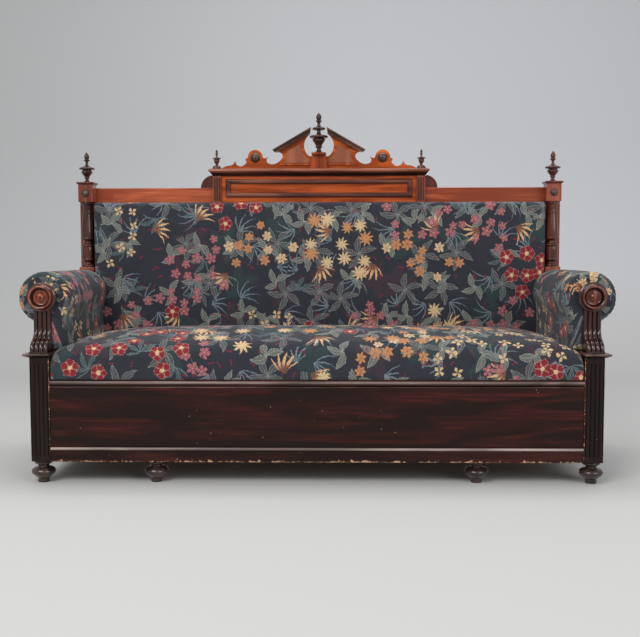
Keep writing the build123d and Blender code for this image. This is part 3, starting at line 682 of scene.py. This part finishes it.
class Cover(Finish):
    """The cover's finish. Each motif is drawn over the colour that it has so far."""

    def __init__(self, name):
        super().__init__(name)
        self.flat = self.node("UVMap", {"uv_map": "cloth"})[0]
        wobble = self.node("TexNoise", None, Vector=self.flat, Scale=95.0, Detail=3.0,
                           Roughness=0.7)[1]
        stray = self.vector("SUBTRACT", wobble, (0.5, 0.5, 0.5))
        stray = self.stretch(stray, (OUTLINE_WANDER, OUTLINE_WANDER, 0.0))
        self.drawn = self.vector("ADD", self.flat, stray)
        drift = self.noise(self.flat, scale=9.0, detail=3)
        self.colour = self.mix(drift, GROUND_DARK, GROUND_FADED)
        fleck = self.noise(self.stretch(self.flat, (230, 420, 1)), detail=2)
        self.ragged = (fleck - 0.5) * 0.007
        self.second = fleck.rise(0.48, 0.56)

    def vector(self, operation, one, two):
        return self.node("VectorMath", {"operation": operation}, one, two)[0]

    def shades(self, one, two, share=0.8):
        """A colour whose second shade comes and goes along the threads."""
        return self.mix(self.second * share, one, two)

    def ink(self, inside, ink, where, soft=0.0005):
        """Paints ink where a point is inside a motif and the plant is there at all."""
        self.colour = self.mix(inside.rise(-soft, soft) * where, self.colour, ink)


# %% Planting
class Planting:
    """One motif planted about every pitch: where a point lies from its middle, and its luck."""

    def __init__(self, cover, place, pitch, start, jitter=0.6):
        shift = (start * 0.731, start * 0.417, 0.0)
        moved = cover.vector("ADD", place, shift)
        _, luck, middle = cover.node("TexVoronoi", {"voronoi_dimensions": "2D"}, Vector=moved,
                                     Scale=1 / pitch, Randomness=jitter)
        self.luck = cover.split(luck)
        x, y, _ = cover.split(cover.vector("SUBTRACT", moved, middle))
        self.radius = (x * x + y * y).root()
        self.angle = y.math("ARCTAN2", x)
        self.middle = cover.vector("SUBTRACT", middle, shift)

    def petals(self, count, long, wide, blunt=1.0, curl=0.0, half=None, size=None):
        """How far inside a ring of petals a point lies, in metres, negative outside. A blunt petal
        is widest near its tip. A half limits the ring to a fan that wide, in radians."""
        radius = self.radius if size is None else self.radius / size
        angle = self.angle + self.luck[0] * (2 * math.pi)
        if curl:
            angle = angle + radius * curl
        fold = angle.wrap(math.pi / count, -math.pi / count)
        along = (radius * fold.cos()).high(0.0)
        share = (along / long).low(1.0)
        edge = ((share ** blunt) * math.pi).sin() * wide
        self.rib = abs(radius * fold.sin())
        inside = (edge - self.rib).low((long - along) * 0.6)
        if half:
            inside = inside.low((half - abs(angle.wrap(math.pi, -math.pi))) * radius)
        return inside

    def disc(self, size):
        """The same for a round spot."""
        return size - self.radius


def neighbourhood(cover, plants):
    """A random number that plants standing near each other share."""
    return Planting(cover, plants.middle, 0.19, 5.0, jitter=0.9).luck[2]


def within(value, start, end):
    """1 where a random number falls in this share."""
    return (value > start) * (value < end)


print("cloth drawing ready")

# %% [markdown]
# ## The plants on it
# From back to front: dark foliage hardly lighter than the ground, outlined and filled leaves,
# grass drawn in single threads, dashes, and then the flowers. Flowers of one kind stand together,
# so a second, coarser planting chooses the kind for a whole neighbourhood. Weaving gives every
# colour a second shade that comes and goes, and a ragged outline where the threads turn back.
# Each function draws one kind of plant, and its numbers are lengths in metres and shares of the
# plants' luck.

# %% Leaves, grass and dashes
FOLIAGE_GREEN, FOLIAGE_PLUM = (47, 66, 66), (66, 52, 60)
GRASS, DASH = (120, 134, 142), (142, 34, 62)
LEAF_LINE, RIB_HALF = 0.0015, 0.0006
LEAVES = (  # pitch, start, jitter; petals, long, wide, blunt, curl, fan; two fills; line; luck
    ((0.15, 7.7, 0.8), (5, 0.07, 0.0115, 1.0, 6.0), (74, 75, 79), (92, 96, 98),
     (140, 141, 137), 0.3),
    ((0.16, 18.4, 0.8), (7, 0.062, 0.0075, 1.1, 7.0, 1.7), (66, 80, 83), (52, 76, 80),
     (114, 128, 129), 0.55),
    ((0.13, 12.4, 0.85), (4, 0.056, 0.0125, 0.9, 11.0, 2.2), (98, 103, 99), (124, 125, 116),
     (158, 161, 153), 0.45),
)


def draw_foliage(cover):
    """Soft leaves that hardly stand out from the ground."""
    shade = Planting(cover, cover.drawn, 0.17, 3.1)
    ring = shade.petals(5, 0.08, 0.019, blunt=0.9, curl=5.0)
    ink = cover.mix(shade.luck[2] > 0.66, FOLIAGE_GREEN, FOLIAGE_PLUM)
    cover.ink(ring, ink, (shade.luck[1] > 0.3) * 0.75, soft=0.004)


def draw_leaves(cover):
    """Rings of leaves: a light outline, a body that leaves the outline showing, and a rib."""
    for planting, petals, fill, second_fill, line, luck in LEAVES:
        plants = Planting(cover, cover.drawn, *planting)
        ring = plants.petals(*petals)
        grown = plants.luck[1] > luck
        cover.ink(ring, line, grown)
        cover.ink(ring - LEAF_LINE, cover.shades(fill, second_fill), grown)
        cover.ink((RIB_HALF - plants.rib).low(ring), line, grown)


def draw_threads(cover):
    """Grass in single threads, and short dashes."""
    grass = Planting(cover, cover.drawn, 0.125, 21.9, jitter=0.85)
    ring = grass.petals(13, 0.082, 0.0021, blunt=0.6, curl=7.0, half=1.0)
    cover.ink(ring, GRASS, grass.luck[1] > 0.25)
    dash = Planting(cover, cover.drawn, 0.036, 66.0, jitter=0.9)
    ring = dash.petals(2, 0.0105, 0.0021, curl=30.0)
    cover.ink(ring + cover.ragged * 0.3, DASH, dash.luck[1] > 0.8)


# %% Flowers
CREAM, STRAW, OCHRE = (230, 202, 158), (226, 184, 136), (160, 122, 78)
APRICOT, RUST = (208, 146, 98), (146, 92, 66)
ROSE, ROSE_DARK = (184, 118, 122), (134, 62, 76)
MADDER, MADDER_DARK = (148, 38, 48), (108, 26, 38)
FLESH = (214, 150, 132)


def draw_sprays(cover):
    """Fans of long thin petals, darker at the root."""
    spray = Planting(cover, cover.drawn, 0.19, 33.3, jitter=0.85)
    ring = spray.petals(15, 0.068, 0.0044, blunt=1.2, curl=6.0, half=0.85)
    tips = spray.radius.rise(0.018, 0.04)
    ink = cover.mix(tips, RUST, cover.shades(STRAW, APRICOT, 0.5))
    cover.ink(ring + cover.ragged * 0.4, ink, spray.luck[1] > 0.5)


def draw_small_flowers(cover):
    """Three kinds of small flower: stars, eyed blossoms and crosses."""
    small = Planting(cover, cover.drawn, 0.05, 41.0)
    kind = neighbourhood(cover, small)
    size = small.luck[1] * 0.3 + 0.8
    grown = small.luck[2] > 0.32
    ring = small.petals(6, 0.0215, 0.0056, blunt=1.3, size=size, curl=14.0) + cover.ragged
    ink = cover.shades(cover.mix(small.luck[0] > 0.72, APRICOT, CREAM), RUST, 0.55)
    cover.ink(ring, ink, grown * within(kind, 0.0, 0.17))
    ring = small.petals(5, 0.0205, 0.0066, blunt=1.5, size=size, curl=-12.0) + cover.ragged
    here = grown * within(kind, 0.17, 0.42)
    cover.ink(ring, cover.shades(ROSE, ROSE_DARK), here)
    cover.ink(small.disc(0.0028), FLESH, here)
    ring = small.petals(4, 0.0205, 0.006, blunt=1.5, size=size, curl=16.0) + cover.ragged
    cover.ink(ring, cover.shades(CREAM, OCHRE, 0.7), grown * within(kind, 0.42, 0.56))


def draw_large_flowers(cover):
    """Two kinds of large flower: a daisy, and a red one with a light edge and eye."""
    large = Planting(cover, cover.drawn, 0.068, 57.0, jitter=0.55)
    kind = neighbourhood(cover, large)
    size = large.luck[1] * 0.25 + 0.85
    ring = large.petals(9, 0.031, 0.0042, blunt=0.9, size=size, curl=8.0)
    ring = ring.high(large.disc(0.0085)) + cover.ragged * 0.8
    ink = cover.shades(cover.mix(large.luck[0] > 0.6, CREAM, APRICOT), OCHRE, 0.6)
    cover.ink(ring, ink, (large.luck[2] > 0.35) * within(kind, 0.56, 0.66))
    ring = large.petals(5, 0.0275, 0.0118, blunt=2.0, size=size) + cover.ragged * 0.7
    here = (large.luck[2] > 0.25) * within(kind, 0.66, 0.82)
    cover.ink(ring + 0.0013, FLESH, here)
    cover.ink(ring, cover.shades(MADDER, MADDER_DARK), here)
    cover.ink(large.disc(0.0075) + cover.ragged, cover.shades(CREAM, APRICOT), here)


# %% The woven cloths
LINT = (24, 25, 30)
HESSIAN_DARK, HESSIAN_LIGHT, HESSIAN_THREAD = (112, 90, 62), (152, 128, 92), 0.0025
CALICO_DARK, CALICO_LIGHT, CALICO_THREAD = (22, 22, 24), (44, 43, 45), 0.0012


def flowered_cloth():
    """The cover: everything drawn from back to front, and the weave over it."""
    cover = Cover("flowered_cloth")
    for draw in (draw_foliage, draw_leaves, draw_threads, draw_sprays, draw_small_flowers,
                 draw_large_flowers):
        draw(cover)
    across, along, _ = cover.split(cover.flat)
    weave = woven(across, along, THREAD)
    slub = cover.noise(cover.stretch(cover.flat, (90, 900, 1)), detail=2)
    colour = cover.mix(weave * 0.16 + slub * 0.12, cover.colour, LINT)
    puckers = cover.noise(cover.flat, scale=26.0, detail=3)
    normal = cover.bump(weave * 0.00025 + slub * 0.0001 + puckers * 0.0008)
    return cover.surface(Base_Color=colour, Roughness=0.84, Normal=normal, Sheen_Weight=0.1,
                         Sheen_Roughness=0.45, Specular_IOR_Level=0.3)


def plain_cloth(name, dark, light, thread):
    """Undyed or black lining: only its weave and its fading."""
    finish = Finish(name)
    place = finish.place()
    x, y, z = finish.split(place)
    weave = woven(x + y, z + y, thread)
    fading = finish.noise(place, scale=3.0, detail=5)
    slub = finish.noise(finish.stretch(place, (30, 30, 700)), detail=2)
    colour = finish.mix(fading * 0.6 + slub * 0.4, dark, light)
    return finish.surface(Base_Color=colour, Roughness=0.95,
                          Normal=finish.bump(weave * 0.0003 + slub * 0.0002))


FLOWERED = flowered_cloth()
HESSIAN = plain_cloth("hessian", HESSIAN_DARK, HESSIAN_LIGHT, HESSIAN_THREAD)
CALICO = plain_cloth("black_calico", CALICO_DARK, CALICO_LIGHT, CALICO_THREAD)
print("flowered cloth has", len(FLOWERED.node_tree.nodes), "nodes")

# %% [markdown]
# ## Sewing helpers
# Every stuffed piece starts as a plain box of cloth, ruled with lines where the shape will turn.
# Rounding pushes each point of the box in towards a smaller box inside it, by a radius that may
# differ from edge to edge. Because the lines are given one by one, a tight edge gets many and a
# flat middle few. The cloth's UV is the distance travelled along it, so the flowers keep their
# size.

# %% A ruled box of cloth
def ruled_box(outs, backs, ups):
    """A box whose faces are cut at every given coordinate."""
    bm = bmesh.new()
    bmesh.ops.create_cube(bm, size=1.0)
    for axis, lines in enumerate((outs, backs, ups)):
        for vert in bm.verts:
            vert.co[axis] = lines[0] if vert.co[axis] < 0 else lines[-1]
    for axis, lines in enumerate((outs, backs, ups)):
        normal = Vector([float(axis == other) for other in range(3)])
        for line in lines[1:-1]:
            geometry = bm.verts[:] + bm.edges[:] + bm.faces[:]
            bmesh.ops.bisect_plane(bm, geom=geometry, plane_co=normal * line, plane_no=normal)
    return bm


def rounded(point, low, high, radii):
    """Pushes a point of the box in to rounded edges. Radii are six: the low and the high side of
    each axis."""
    inside = Vector()
    reach = Vector()
    for axis in range(3):
        near, far = radii[2 * axis], radii[2 * axis + 1]
        inside[axis] = min(max(point[axis], low[axis] + near), high[axis] - far)
        radius = near if point[axis] < inside[axis] else far
        reach[axis] = (point[axis] - inside[axis]) / radius
    if reach.length < 1e-6:
        return point.copy()
    scale = 1 / reach.length
    for axis in range(3):
        radius = radii[2 * axis] if reach[axis] < 0 else radii[2 * axis + 1]
        inside[axis] += reach[axis] * scale * radius
    return inside


def ease(value, start, end):
    """0 before start, 1 after end, smooth between."""
    share = min(max((value - start) / (end - start), 0.0), 1.0)
    return share * share * (3 - 2 * share)


def spread(start, end, count):
    """Both ends and the places between that cut the way into count equal steps."""
    return [start + (end - start) * i / count for i in range(count + 1)]


def both_sides(lines):
    """The same lines left and right of the middle, in order."""
    return sorted({round(-line, 6) for line in lines} | {round(line, 6) for line in lines})


print("sewing helpers ready")


# %% Unfold the box, and make it a piece
def unfold(bm, level, main, upward):
    """UVs in metres for a ruled box. The main axis is the one the show face looks along, level is
    where that face lies, and upward is the axis that runs up the cloth."""
    layer = bm.loops.layers.uv.new("cloth")
    bm.normal_update()
    for face in bm.faces:
        for loop in face.loops:
            point = loop.vert.co
            drop = abs(point[main] - level)
            if abs(face.normal[main]) > 0.5:
                drop = 0.0
            across = point.x + face.normal.x * drop
            along = point[upward] + face.normal[upward] * drop
            loop[layer].uv = (across, along)


def refine(piece):
    """Smooths a cover by one live level of subdivision."""
    finer = piece.modifiers.new("finer", "SUBSURF")
    finer.levels = finer.render_levels = 1
    return piece


def box_cover(name, lines, level, main, upward, lined, shape):
    """A ruled box of cloth is unfolded, lined with hessian where lined says so of a face, and
    bent: shape turns the place of a point on the flat box into its place on the sofa."""
    bm = ruled_box(*lines)
    unfold(bm, level, main, upward)
    for face in bm.faces:
        face.material_index = int(lined(face))
    for vert in bm.verts:
        vert.co = spot(*shape(vert.co.copy()))
    bmesh.ops.recalc_face_normals(bm, faces=bm.faces)
    made = refine(add_mesh(bm, name, FLOWERED, HESSIAN))
    print(name, len(made.data.polygons), "faces")
    return made


# %% Stuffing
def crown(share, power):
    """1 in the middle, 0 at a share of 1 out."""
    return 1 - min(abs(share), 1.0) ** power


def lumps(point, size, height):
    """The slow unevenness of horsehair under a cover."""
    return noise.noise(point / size) * height


print("stuffing helpers ready")

# %% [markdown]
# ## The seat
# The seat lies loose on the frame. Springs push its middle up, so it is crowned both ways, and
# the stuffing is stitched to a hard roll along the front edge. The cover runs down over the front
# rail of the seat frame. In front of the arms the seat is wider than between them, so it has two
# ears there. Underneath it is hollow over the springs, with hessian on the hollow.

# %% Seat cover
SEAT_FRONT, SEAT_BACK = -0.003, 0.562   # depths
SEAT_LOW, SEAT_EDGE = 0.3425, 0.452     # heights of the apron's hem and of the flat box's top
SEAT_EAR, SEAT_WAIST = 0.8585, 0.822    # half widths in front of the arms and between them
SEAT_CROWN, EAR_SINK = 0.047, 0.012
SEAT_SHARP, SEAT_SOFT = 0.006, 0.036    # edge radii at the hem and at the top
SEAT_REAR_RADIUS, HEM_RADIUS = 0.02, 0.0018
SPRUNG_HALF = 0.835                     # half the width that the springs lift
APRON_LINES = [0.003, 0.0036]           # the hanging apron's inside turns up between these depths
EAR_LINES = [0.8436, 0.8444]            # and between these half widths in the ears
EAR_BACK = 0.05
NEARLY = 0.0001                         # so that rounding of numbers doesn't hide a side
FRAME_TOP, WELL_ROOF = 0.3862, 0.4305
WELL_OUT, WELL_FRONT, WELL_REAR = 0.765, 0.058, 0.506


def seat_height(out, back):
    """How far the springs and the stuffing lift the cover above the flat box. The two ears have no
    springs under them and sink."""
    across = 0.8 * crown(out / SPRUNG_HALF, 7) + 0.2 * crown(out / SPRUNG_HALF, 2)
    along = ease(back, -0.08, 0.2) * (1 - 0.45 * ease(back, 0.2, 0.57))
    ear = ease(abs(out), 0.77, 0.845) * (1 - ease(back, 0.06, 0.16))
    return SEAT_CROWN * across * along - EAR_SINK * ear


def seat_underside(out, back):
    """The apron hangs to its hem, the spring well is high, and the rest lies on the frame."""
    if back < sum(APRON_LINES) / 2 or (abs(out) > sum(EAR_LINES) / 2 and back < EAR_BACK):
        return SEAT_LOW
    if abs(out) < WELL_OUT and WELL_FRONT < back < WELL_REAR:
        return WELL_ROOF
    return FRAME_TOP


SEAT_CORNERS = (Vector((-SEAT_EAR, SEAT_FRONT, SEAT_LOW)),
                Vector((SEAT_EAR, SEAT_BACK, SEAT_EDGE)))


def seat_point(point):
    """Where a point of the flat box comes to lie on the stuffed seat."""
    edge = SEAT_SHARP + (SEAT_SOFT - SEAT_SHARP) * ease(point.z, 0.39, 0.43)
    shaped = rounded(point, *SEAT_CORNERS, (edge, edge, edge, SEAT_REAR_RADIUS, HEM_RADIUS,
                                            SEAT_SOFT))
    waist = ease(shaped.y, EAR_BACK, 0.068) * ease(abs(shaped.x), 0.6, SEAT_EAR)
    shaped.x -= math.copysign((SEAT_EAR - SEAT_WAIST) * waist, shaped.x)
    if point.z < SEAT_LOW + NEARLY:
        shaped.z = seat_underside(point.x, point.y)
        return shaped
    share = ease(shaped.z, 0.385, SEAT_EDGE)
    shaped.z += share * (seat_height(shaped.x, shaped.y) + lumps(shaped, 0.11, 0.0022))
    if point.y < SEAT_FRONT + NEARLY:
        up = min(max((shaped.z - SEAT_LOW) / 0.09, 0.0), 1.0)
        shaped.y -= 0.0012 * math.sin(math.pi * up)
    return shaped


def seat_lined(face):
    """The hessian lies underneath, but not under the hem of the apron."""
    return face.normal.z < -0.5 and face.calc_center_median().y > APRON_LINES[1]


outs = both_sides(spread(0, 0.7, 28) + [0.73, 0.75, 0.7648, 0.7656, 0.78, 0.795]
                  + spread(0.808, 0.838, 6) + [0.8425, *EAR_LINES, 0.849, 0.854, SEAT_EAR])
backs = ([SEAT_FRONT, 0.0, *APRON_LINES] + spread(0.008, 0.032, 5)
         + [0.04, EAR_BACK, 0.0576, 0.0584] + spread(0.066, 0.09, 3) + spread(0.11, 0.49, 19)
         + [0.5056, 0.5064] + spread(0.52, 0.552, 4) + [0.557, SEAT_BACK])
ups = [SEAT_LOW, 0.345, 0.355, 0.37, 0.385, 0.4, 0.412] + spread(0.418, SEAT_EDGE, 6)
seat_cover = box_cover("seat_cover", (outs, backs, ups), SEAT_EDGE, 2, 1, seat_lined, seat_point)

# %% [markdown]
# ## The back
# The back is one flat stuffed panel between the rear posts. It is a little fuller in the middle,
# and its cover turns over a soft edge at the top, just below the crest rail.

# %% Back cover
BACK_FACE, BACK_REAR = 0.574, 0.6225
BACK_LOW, BACK_HIGH = 0.4405, 0.9445
BACK_HALF = 0.8605
BACK_CROWN = 0.009


BACK_CORNERS = (Vector((-BACK_HALF, BACK_FACE, BACK_LOW)),
                Vector((BACK_HALF, BACK_REAR, BACK_HIGH)))
BACK_RADII = (0.012, 0.012, 0.022, 0.004, 0.012, 0.014)


def back_point(point):
    """Where a point of the flat box comes to lie on the stuffed back."""
    shaped = rounded(point, *BACK_CORNERS, BACK_RADII)
    middle = (BACK_LOW + BACK_HIGH) / 2
    fullness = crown(shaped.x / BACK_HALF, 5) * crown((shaped.z - middle) / 0.26, 3)
    share = 1 - ease(shaped.y, BACK_FACE, BACK_REAR - 0.01)
    shaped.y -= share * (BACK_CROWN * fullness + lumps(shaped, 0.13, 0.0018))
    return shaped


def back_lined(face):
    """The rear of the stuffing, which the calico hides."""
    return face.normal.y > 0.5


outs = both_sides(spread(0, 0.82, 30) + spread(0.845, BACK_HALF, 5))
backs = spread(BACK_FACE, 0.602, 5) + [0.612, BACK_REAR]
ups = [BACK_LOW, 0.446, 0.453] + spread(0.465, 0.912, 18) + spread(0.926, BACK_HIGH, 6)
back_cover = box_cover("back_cover", (outs, backs, ups), BACK_FACE, 1, 2, back_lined, back_point)

# %% [markdown]
# ## The arms
# An arm is a wall with a round roll on top that leans outward over it. One width of cloth goes up
# the inside, over the roll and down the outside. At the front it turns over a soft edge and is
# gathered in small pleats round the turned rosette. A grid with one side running round the arm
# and the other running along it has the cloth's own two directions, so the pleats and the UV are
# easy on it.

# %% Arm outline
ROLL_OUT, ROLL_UP, ROLL_RADIUS = 0.896, 0.604, 0.0855
ROLL_START, ROLL_END = 196, -68         # degrees round the roll that the cloth lies on it
ARM_INNER, ARM_OUTER = 0.8265, 0.9215
ARM_HEM, INNER_TOP, OUTER_TOP = 0.428, 0.543, 0.516
ARM_FRONT, ARM_REAR = 0.0612, 0.578
AROUND = 160
GATHER_OUT, GATHER_UP = 0.893, 0.600    # where the pleats run together


def arm_outline():
    """Points round the arm seen from in front, from the inside hem over the roll and back under."""
    corners = [Vector((ARM_INNER, up)) for up in spread(ARM_HEM, INNER_TOP, 14)]
    for turn in spread(math.radians(ROLL_START), math.radians(ROLL_END), 60):
        corners.append(Vector((ROLL_OUT + ROLL_RADIUS * math.cos(turn),
                               ROLL_UP + ROLL_RADIUS * math.sin(turn))))
    corners += [Vector((ARM_OUTER, up)) for up in spread(OUTER_TOP, ARM_HEM, 12)]
    corners += [Vector((out, ARM_HEM)) for out in spread(ARM_OUTER, ARM_INNER, 12)[1:]]
    return corners


def evenly(corners, count):
    """The closed outline again, as count points the same distance apart, lightly smoothed."""
    lengths = [0.0]
    for one, two in zip(corners, corners[1:]):
        lengths.append(lengths[-1] + (two - one).length)
    points, place = [], 0
    for i in range(count):
        travel = lengths[-1] * i / count
        while lengths[place + 1] < travel:
            place += 1
        share = (travel - lengths[place]) / (lengths[place + 1] - lengths[place])
        points.append(corners[place].lerp(corners[place + 1], share))
    for _ in range(6):
        points = [points[i] * 0.5 + (points[i - 1] + points[(i + 1) % count]) * 0.25
                  for i in range(count)]
    return points, lengths[-1]


outline, arm_girth = evenly(arm_outline(), AROUND)
print("cloth round the arm:", round(arm_girth, 3), "m")

# %% [markdown]
# The rows of the grid run from the point under the rosette outwards over the front face, round
# the soft edge, back along the arm, and in again at the rear, where the back hides them. A pleat
# is deepest at the rosette and dies out on the roll. Pleats are never even, so each gets its own
# depth.

# %% Arm covers
EDGE_RADIUS = 0.021
FACE_LONG = 0.08                        # how far the cloth travels in over the front face
PLEATS = 46
PLEAT_DEEP = 0.0021
CUT_RIGHT, CUT_LEFT = (2.6, 4.4), (4.1, 2.7)    # places on the cloth where the covers are cut


def arm_rows():
    """Rows as (share of the way in to the gathering point, inset in metres, depth)."""
    face = ARM_FRONT
    rows = [(1 - 0.93 * i / 12, 0.0, face - 0.0012 * math.sin(math.pi * i / 12))
            for i in range(12)]
    for i in range(9):
        turn = math.pi / 2 * i / 8
        rows.append((0.0, EDGE_RADIUS * (1 - math.sin(turn)),
                     face + EDGE_RADIUS * (1 - math.cos(turn))))
    rows += [(0.0, 0.0, back) for back in spread(0.098, 0.562, 24)]
    rows += [(0.0, 0.003, 0.572), (0.0, 0.012, ARM_REAR)]
    rows += [(1 - 0.8 * i / 4, 0.0, ARM_REAR) for i in range(3, -1, -1)]
    return rows


def pleat(turn, depth_share):
    """Small ridges that run from the rosette over the edge. Their phase wanders, as by hand."""
    wander = noise.noise(Vector((math.cos(turn) * 2.3, math.sin(turn) * 2.3, 4.0))) * 2.4
    ridge = math.sin(PLEATS * turn + wander * 3)
    strength = 0.55 + 0.6 * noise.noise(Vector((math.cos(turn) * 5, math.sin(turn) * 5, 9.0)))
    return PLEAT_DEEP * ridge * strength * depth_share


def shape_arm(bm, rows, cut):
    """Bends the grid round the arm. Its UV starts at the place on the cloth where it was cut."""
    centre = Vector((GATHER_OUT, GATHER_UP))
    layer = bm.loops.layers.uv.new("cloth")
    travel, lengths = 0.0, []
    for index, (share, inset, back) in enumerate(rows):
        if index:
            before = rows[index - 1]
            travel += math.hypot((share - before[0]) * FACE_LONG, inset - before[1],
                                 back - before[2])
        lengths.append(travel)
    for face in bm.faces:
        for loop in face.loops:
            row = round(loop.vert.co.y)
            loop[layer].uv = (cut[0] + lengths[row], cut[1] + loop.vert.co.x * arm_girth)
    for vert in bm.verts:
        around, row = round(vert.co.x * AROUND) % AROUND, round(vert.co.y)
        share, inset, back = rows[row]
        rim = outline[around]
        inward = centre - rim
        turn = math.atan2(-inward.y, -inward.x)
        place = rim + inward.normalized() * inset + inward * share
        fade = (1 - ease(back, 0.062, 0.17)) * ease(1 - share, 0.0, 0.5)
        ridge = pleat(turn, fade) if back < 0.3 else 0.0
        on_roll = Vector((place.x * 1.5, back, place.y * 1.5))
        sag = 0.0 if share else lumps(on_roll, 0.09, 0.002)
        place -= inward.normalized() * (ridge * (1 - share) + sag)
        vert.co = spot(place.x, back - ridge * 0.8 * (1 - ease(back, 0.061, 0.08)), place.y)


def arm_cover(side, name, cut):
    """One arm's cover: side is 1 on the right and -1 on the left."""
    rows = arm_rows()
    bm = bmesh.new()
    bmesh.ops.create_grid(bm, x_segments=AROUND, y_segments=len(rows) - 1, size=0.5)
    for vert in bm.verts:
        vert.co = Vector((vert.co.x + 0.5, round((vert.co.y + 0.5) * (len(rows) - 1)), 0))
    shape_arm(bm, rows, cut)
    bmesh.ops.remove_doubles(bm, verts=bm.verts, dist=0.00002)
    if side < 0:
        bmesh.ops.scale(bm, vec=(-1, 1, 1), verts=bm.verts)
    bmesh.ops.recalc_face_normals(bm, faces=bm.faces)
    return refine(add_mesh(bm, name, FLOWERED))


arm_cover_right = arm_cover(1, "arm_cover_right", CUT_RIGHT)
arm_cover_left = arm_cover(-1, "arm_cover_left", CUT_LEFT)
print("arm covers", len(arm_cover_right.data.polygons), "faces each")

# %% [markdown]
# ## The outside of the back
# The back of a sofa that stands against a wall gets cheap black calico, pulled flat over the
# rails and tacked every few centimetres. It gives a little between the rails and the two uprights
# that it lies on. It is a true sheet with two faces, and its tacks are one small domed disc
# repeated along the edge.

# %% Back cloth and tacks
CLOTH_HALF, CLOTH_LOW, CLOTH_HIGH = 0.862, 0.430, 0.997
CLOTH_DEPTH = 0.6473
CLOTH_THICK = 0.0008
TACK_RADIUS, TACK_PITCH, TACK_INSET = 0.0045, 0.075, 0.007
TACK_SIDES, TACK_RINGS, TACK_FLAT = 10, 6, 0.28
BLUED_STEEL, TACK_RUST = (40, 41, 46), (88, 54, 38)
UPRIGHT_HALF = 0.025
UPRIGHT_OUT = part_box("back_uprights")[1].x - UPRIGHT_HALF

bm = bmesh.new()
bmesh.ops.create_grid(bm, x_segments=90, y_segments=36, size=0.5)
cloth_layer = bm.loops.layers.uv.new("cloth")
for face in bm.faces:
    for loop in face.loops:
        loop[cloth_layer].uv = (loop.vert.co.x * 2 * CLOTH_HALF,
                                loop.vert.co.y * (CLOTH_HIGH - CLOTH_LOW))
for vert in bm.verts:
    out = vert.co.x * 2 * CLOTH_HALF
    up = CLOTH_LOW + (vert.co.y + 0.5) * (CLOTH_HIGH - CLOTH_LOW)
    free = ease(abs(abs(out) - UPRIGHT_OUT), UPRIGHT_HALF, UPRIGHT_HALF + 0.07)
    inside = ease(up, 0.475, 0.53) * (1 - ease(up, 0.86, 0.92)) * free
    give = 0.0022 * inside * noise.noise(Vector((out * 2.2, up * 3.0, 2.0)))
    pucker = 0.0004 * math.sin(2 * math.pi * out / TACK_PITCH) * (1 - inside)
    vert.co = spot(out, CLOTH_DEPTH - 0.002 * inside + give + pucker, up)
bmesh.ops.recalc_face_normals(bm, faces=bm.faces)
back_cloth = add_mesh(bm, "back_cloth", CALICO)
thickness = back_cloth.modifiers.new("thickness", "SOLIDIFY")
thickness.thickness = CLOTH_THICK
thickness.offset = 0.0


def tack_places():
    """Places along the cloth's four edges, seven millimetres in."""
    left, right = -CLOTH_HALF + TACK_INSET, CLOTH_HALF - TACK_INSET
    low, high = CLOTH_LOW + TACK_INSET, CLOTH_HIGH - TACK_INSET
    for out in spread(left, right, round((right - left) / TACK_PITCH)):
        yield out, low
        yield out, high
    for up in spread(low, high, round((high - low) / TACK_PITCH))[1:-1]:
        yield left, up
        yield right, up


def blued_iron():
    finish = Finish("blued_iron")
    rust = finish.noise(finish.place(), scale=90.0, detail=4).rise(0.48, 0.62)
    colour = finish.mix(rust, BLUED_STEEL, TACK_RUST)
    return finish.surface(Base_Color=colour, Metallic=1 - rust, Roughness=rust * 0.4 + 0.4)


bm = bmesh.new()
for out, up in tack_places():
    made = bmesh.ops.create_uvsphere(bm, u_segments=TACK_SIDES, v_segments=TACK_RINGS,
                                     radius=TACK_RADIUS)
    bmesh.ops.scale(bm, vec=(1, TACK_FLAT, 1), verts=made["verts"])
    bmesh.ops.translate(bm, vec=spot(out, CLOTH_DEPTH + CLOTH_THICK, up), verts=made["verts"])
bmesh.ops.recalc_face_normals(bm, faces=bm.faces)
back_tacks = add_mesh(bm, "back_tacks", blued_iron())
print("back cloth and", len(list(tack_places())), "tacks")

# %% [markdown]
# ## What each piece stands for
# The upholstery replaces the plain solids that hold its room in the frame, and moves with the same
# part of the sofa: the seat with the loose seat, the rest with the carcase.

for piece, body, node, fill in (
    (seat_cover, "seat", "seat_cushion", 0.85),
    (back_cover, "carcase", "backrest_pad", 0.8),
    (arm_cover_left, "carcase", "arm_pad_left", 0.85),
    (arm_cover_right, "carcase", "arm_pad_right", 0.85),
):
    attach(piece, body)
    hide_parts(node)

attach(back_tacks, "carcase")
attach(back_cloth, "carcase")
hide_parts("outside_back_cloth")
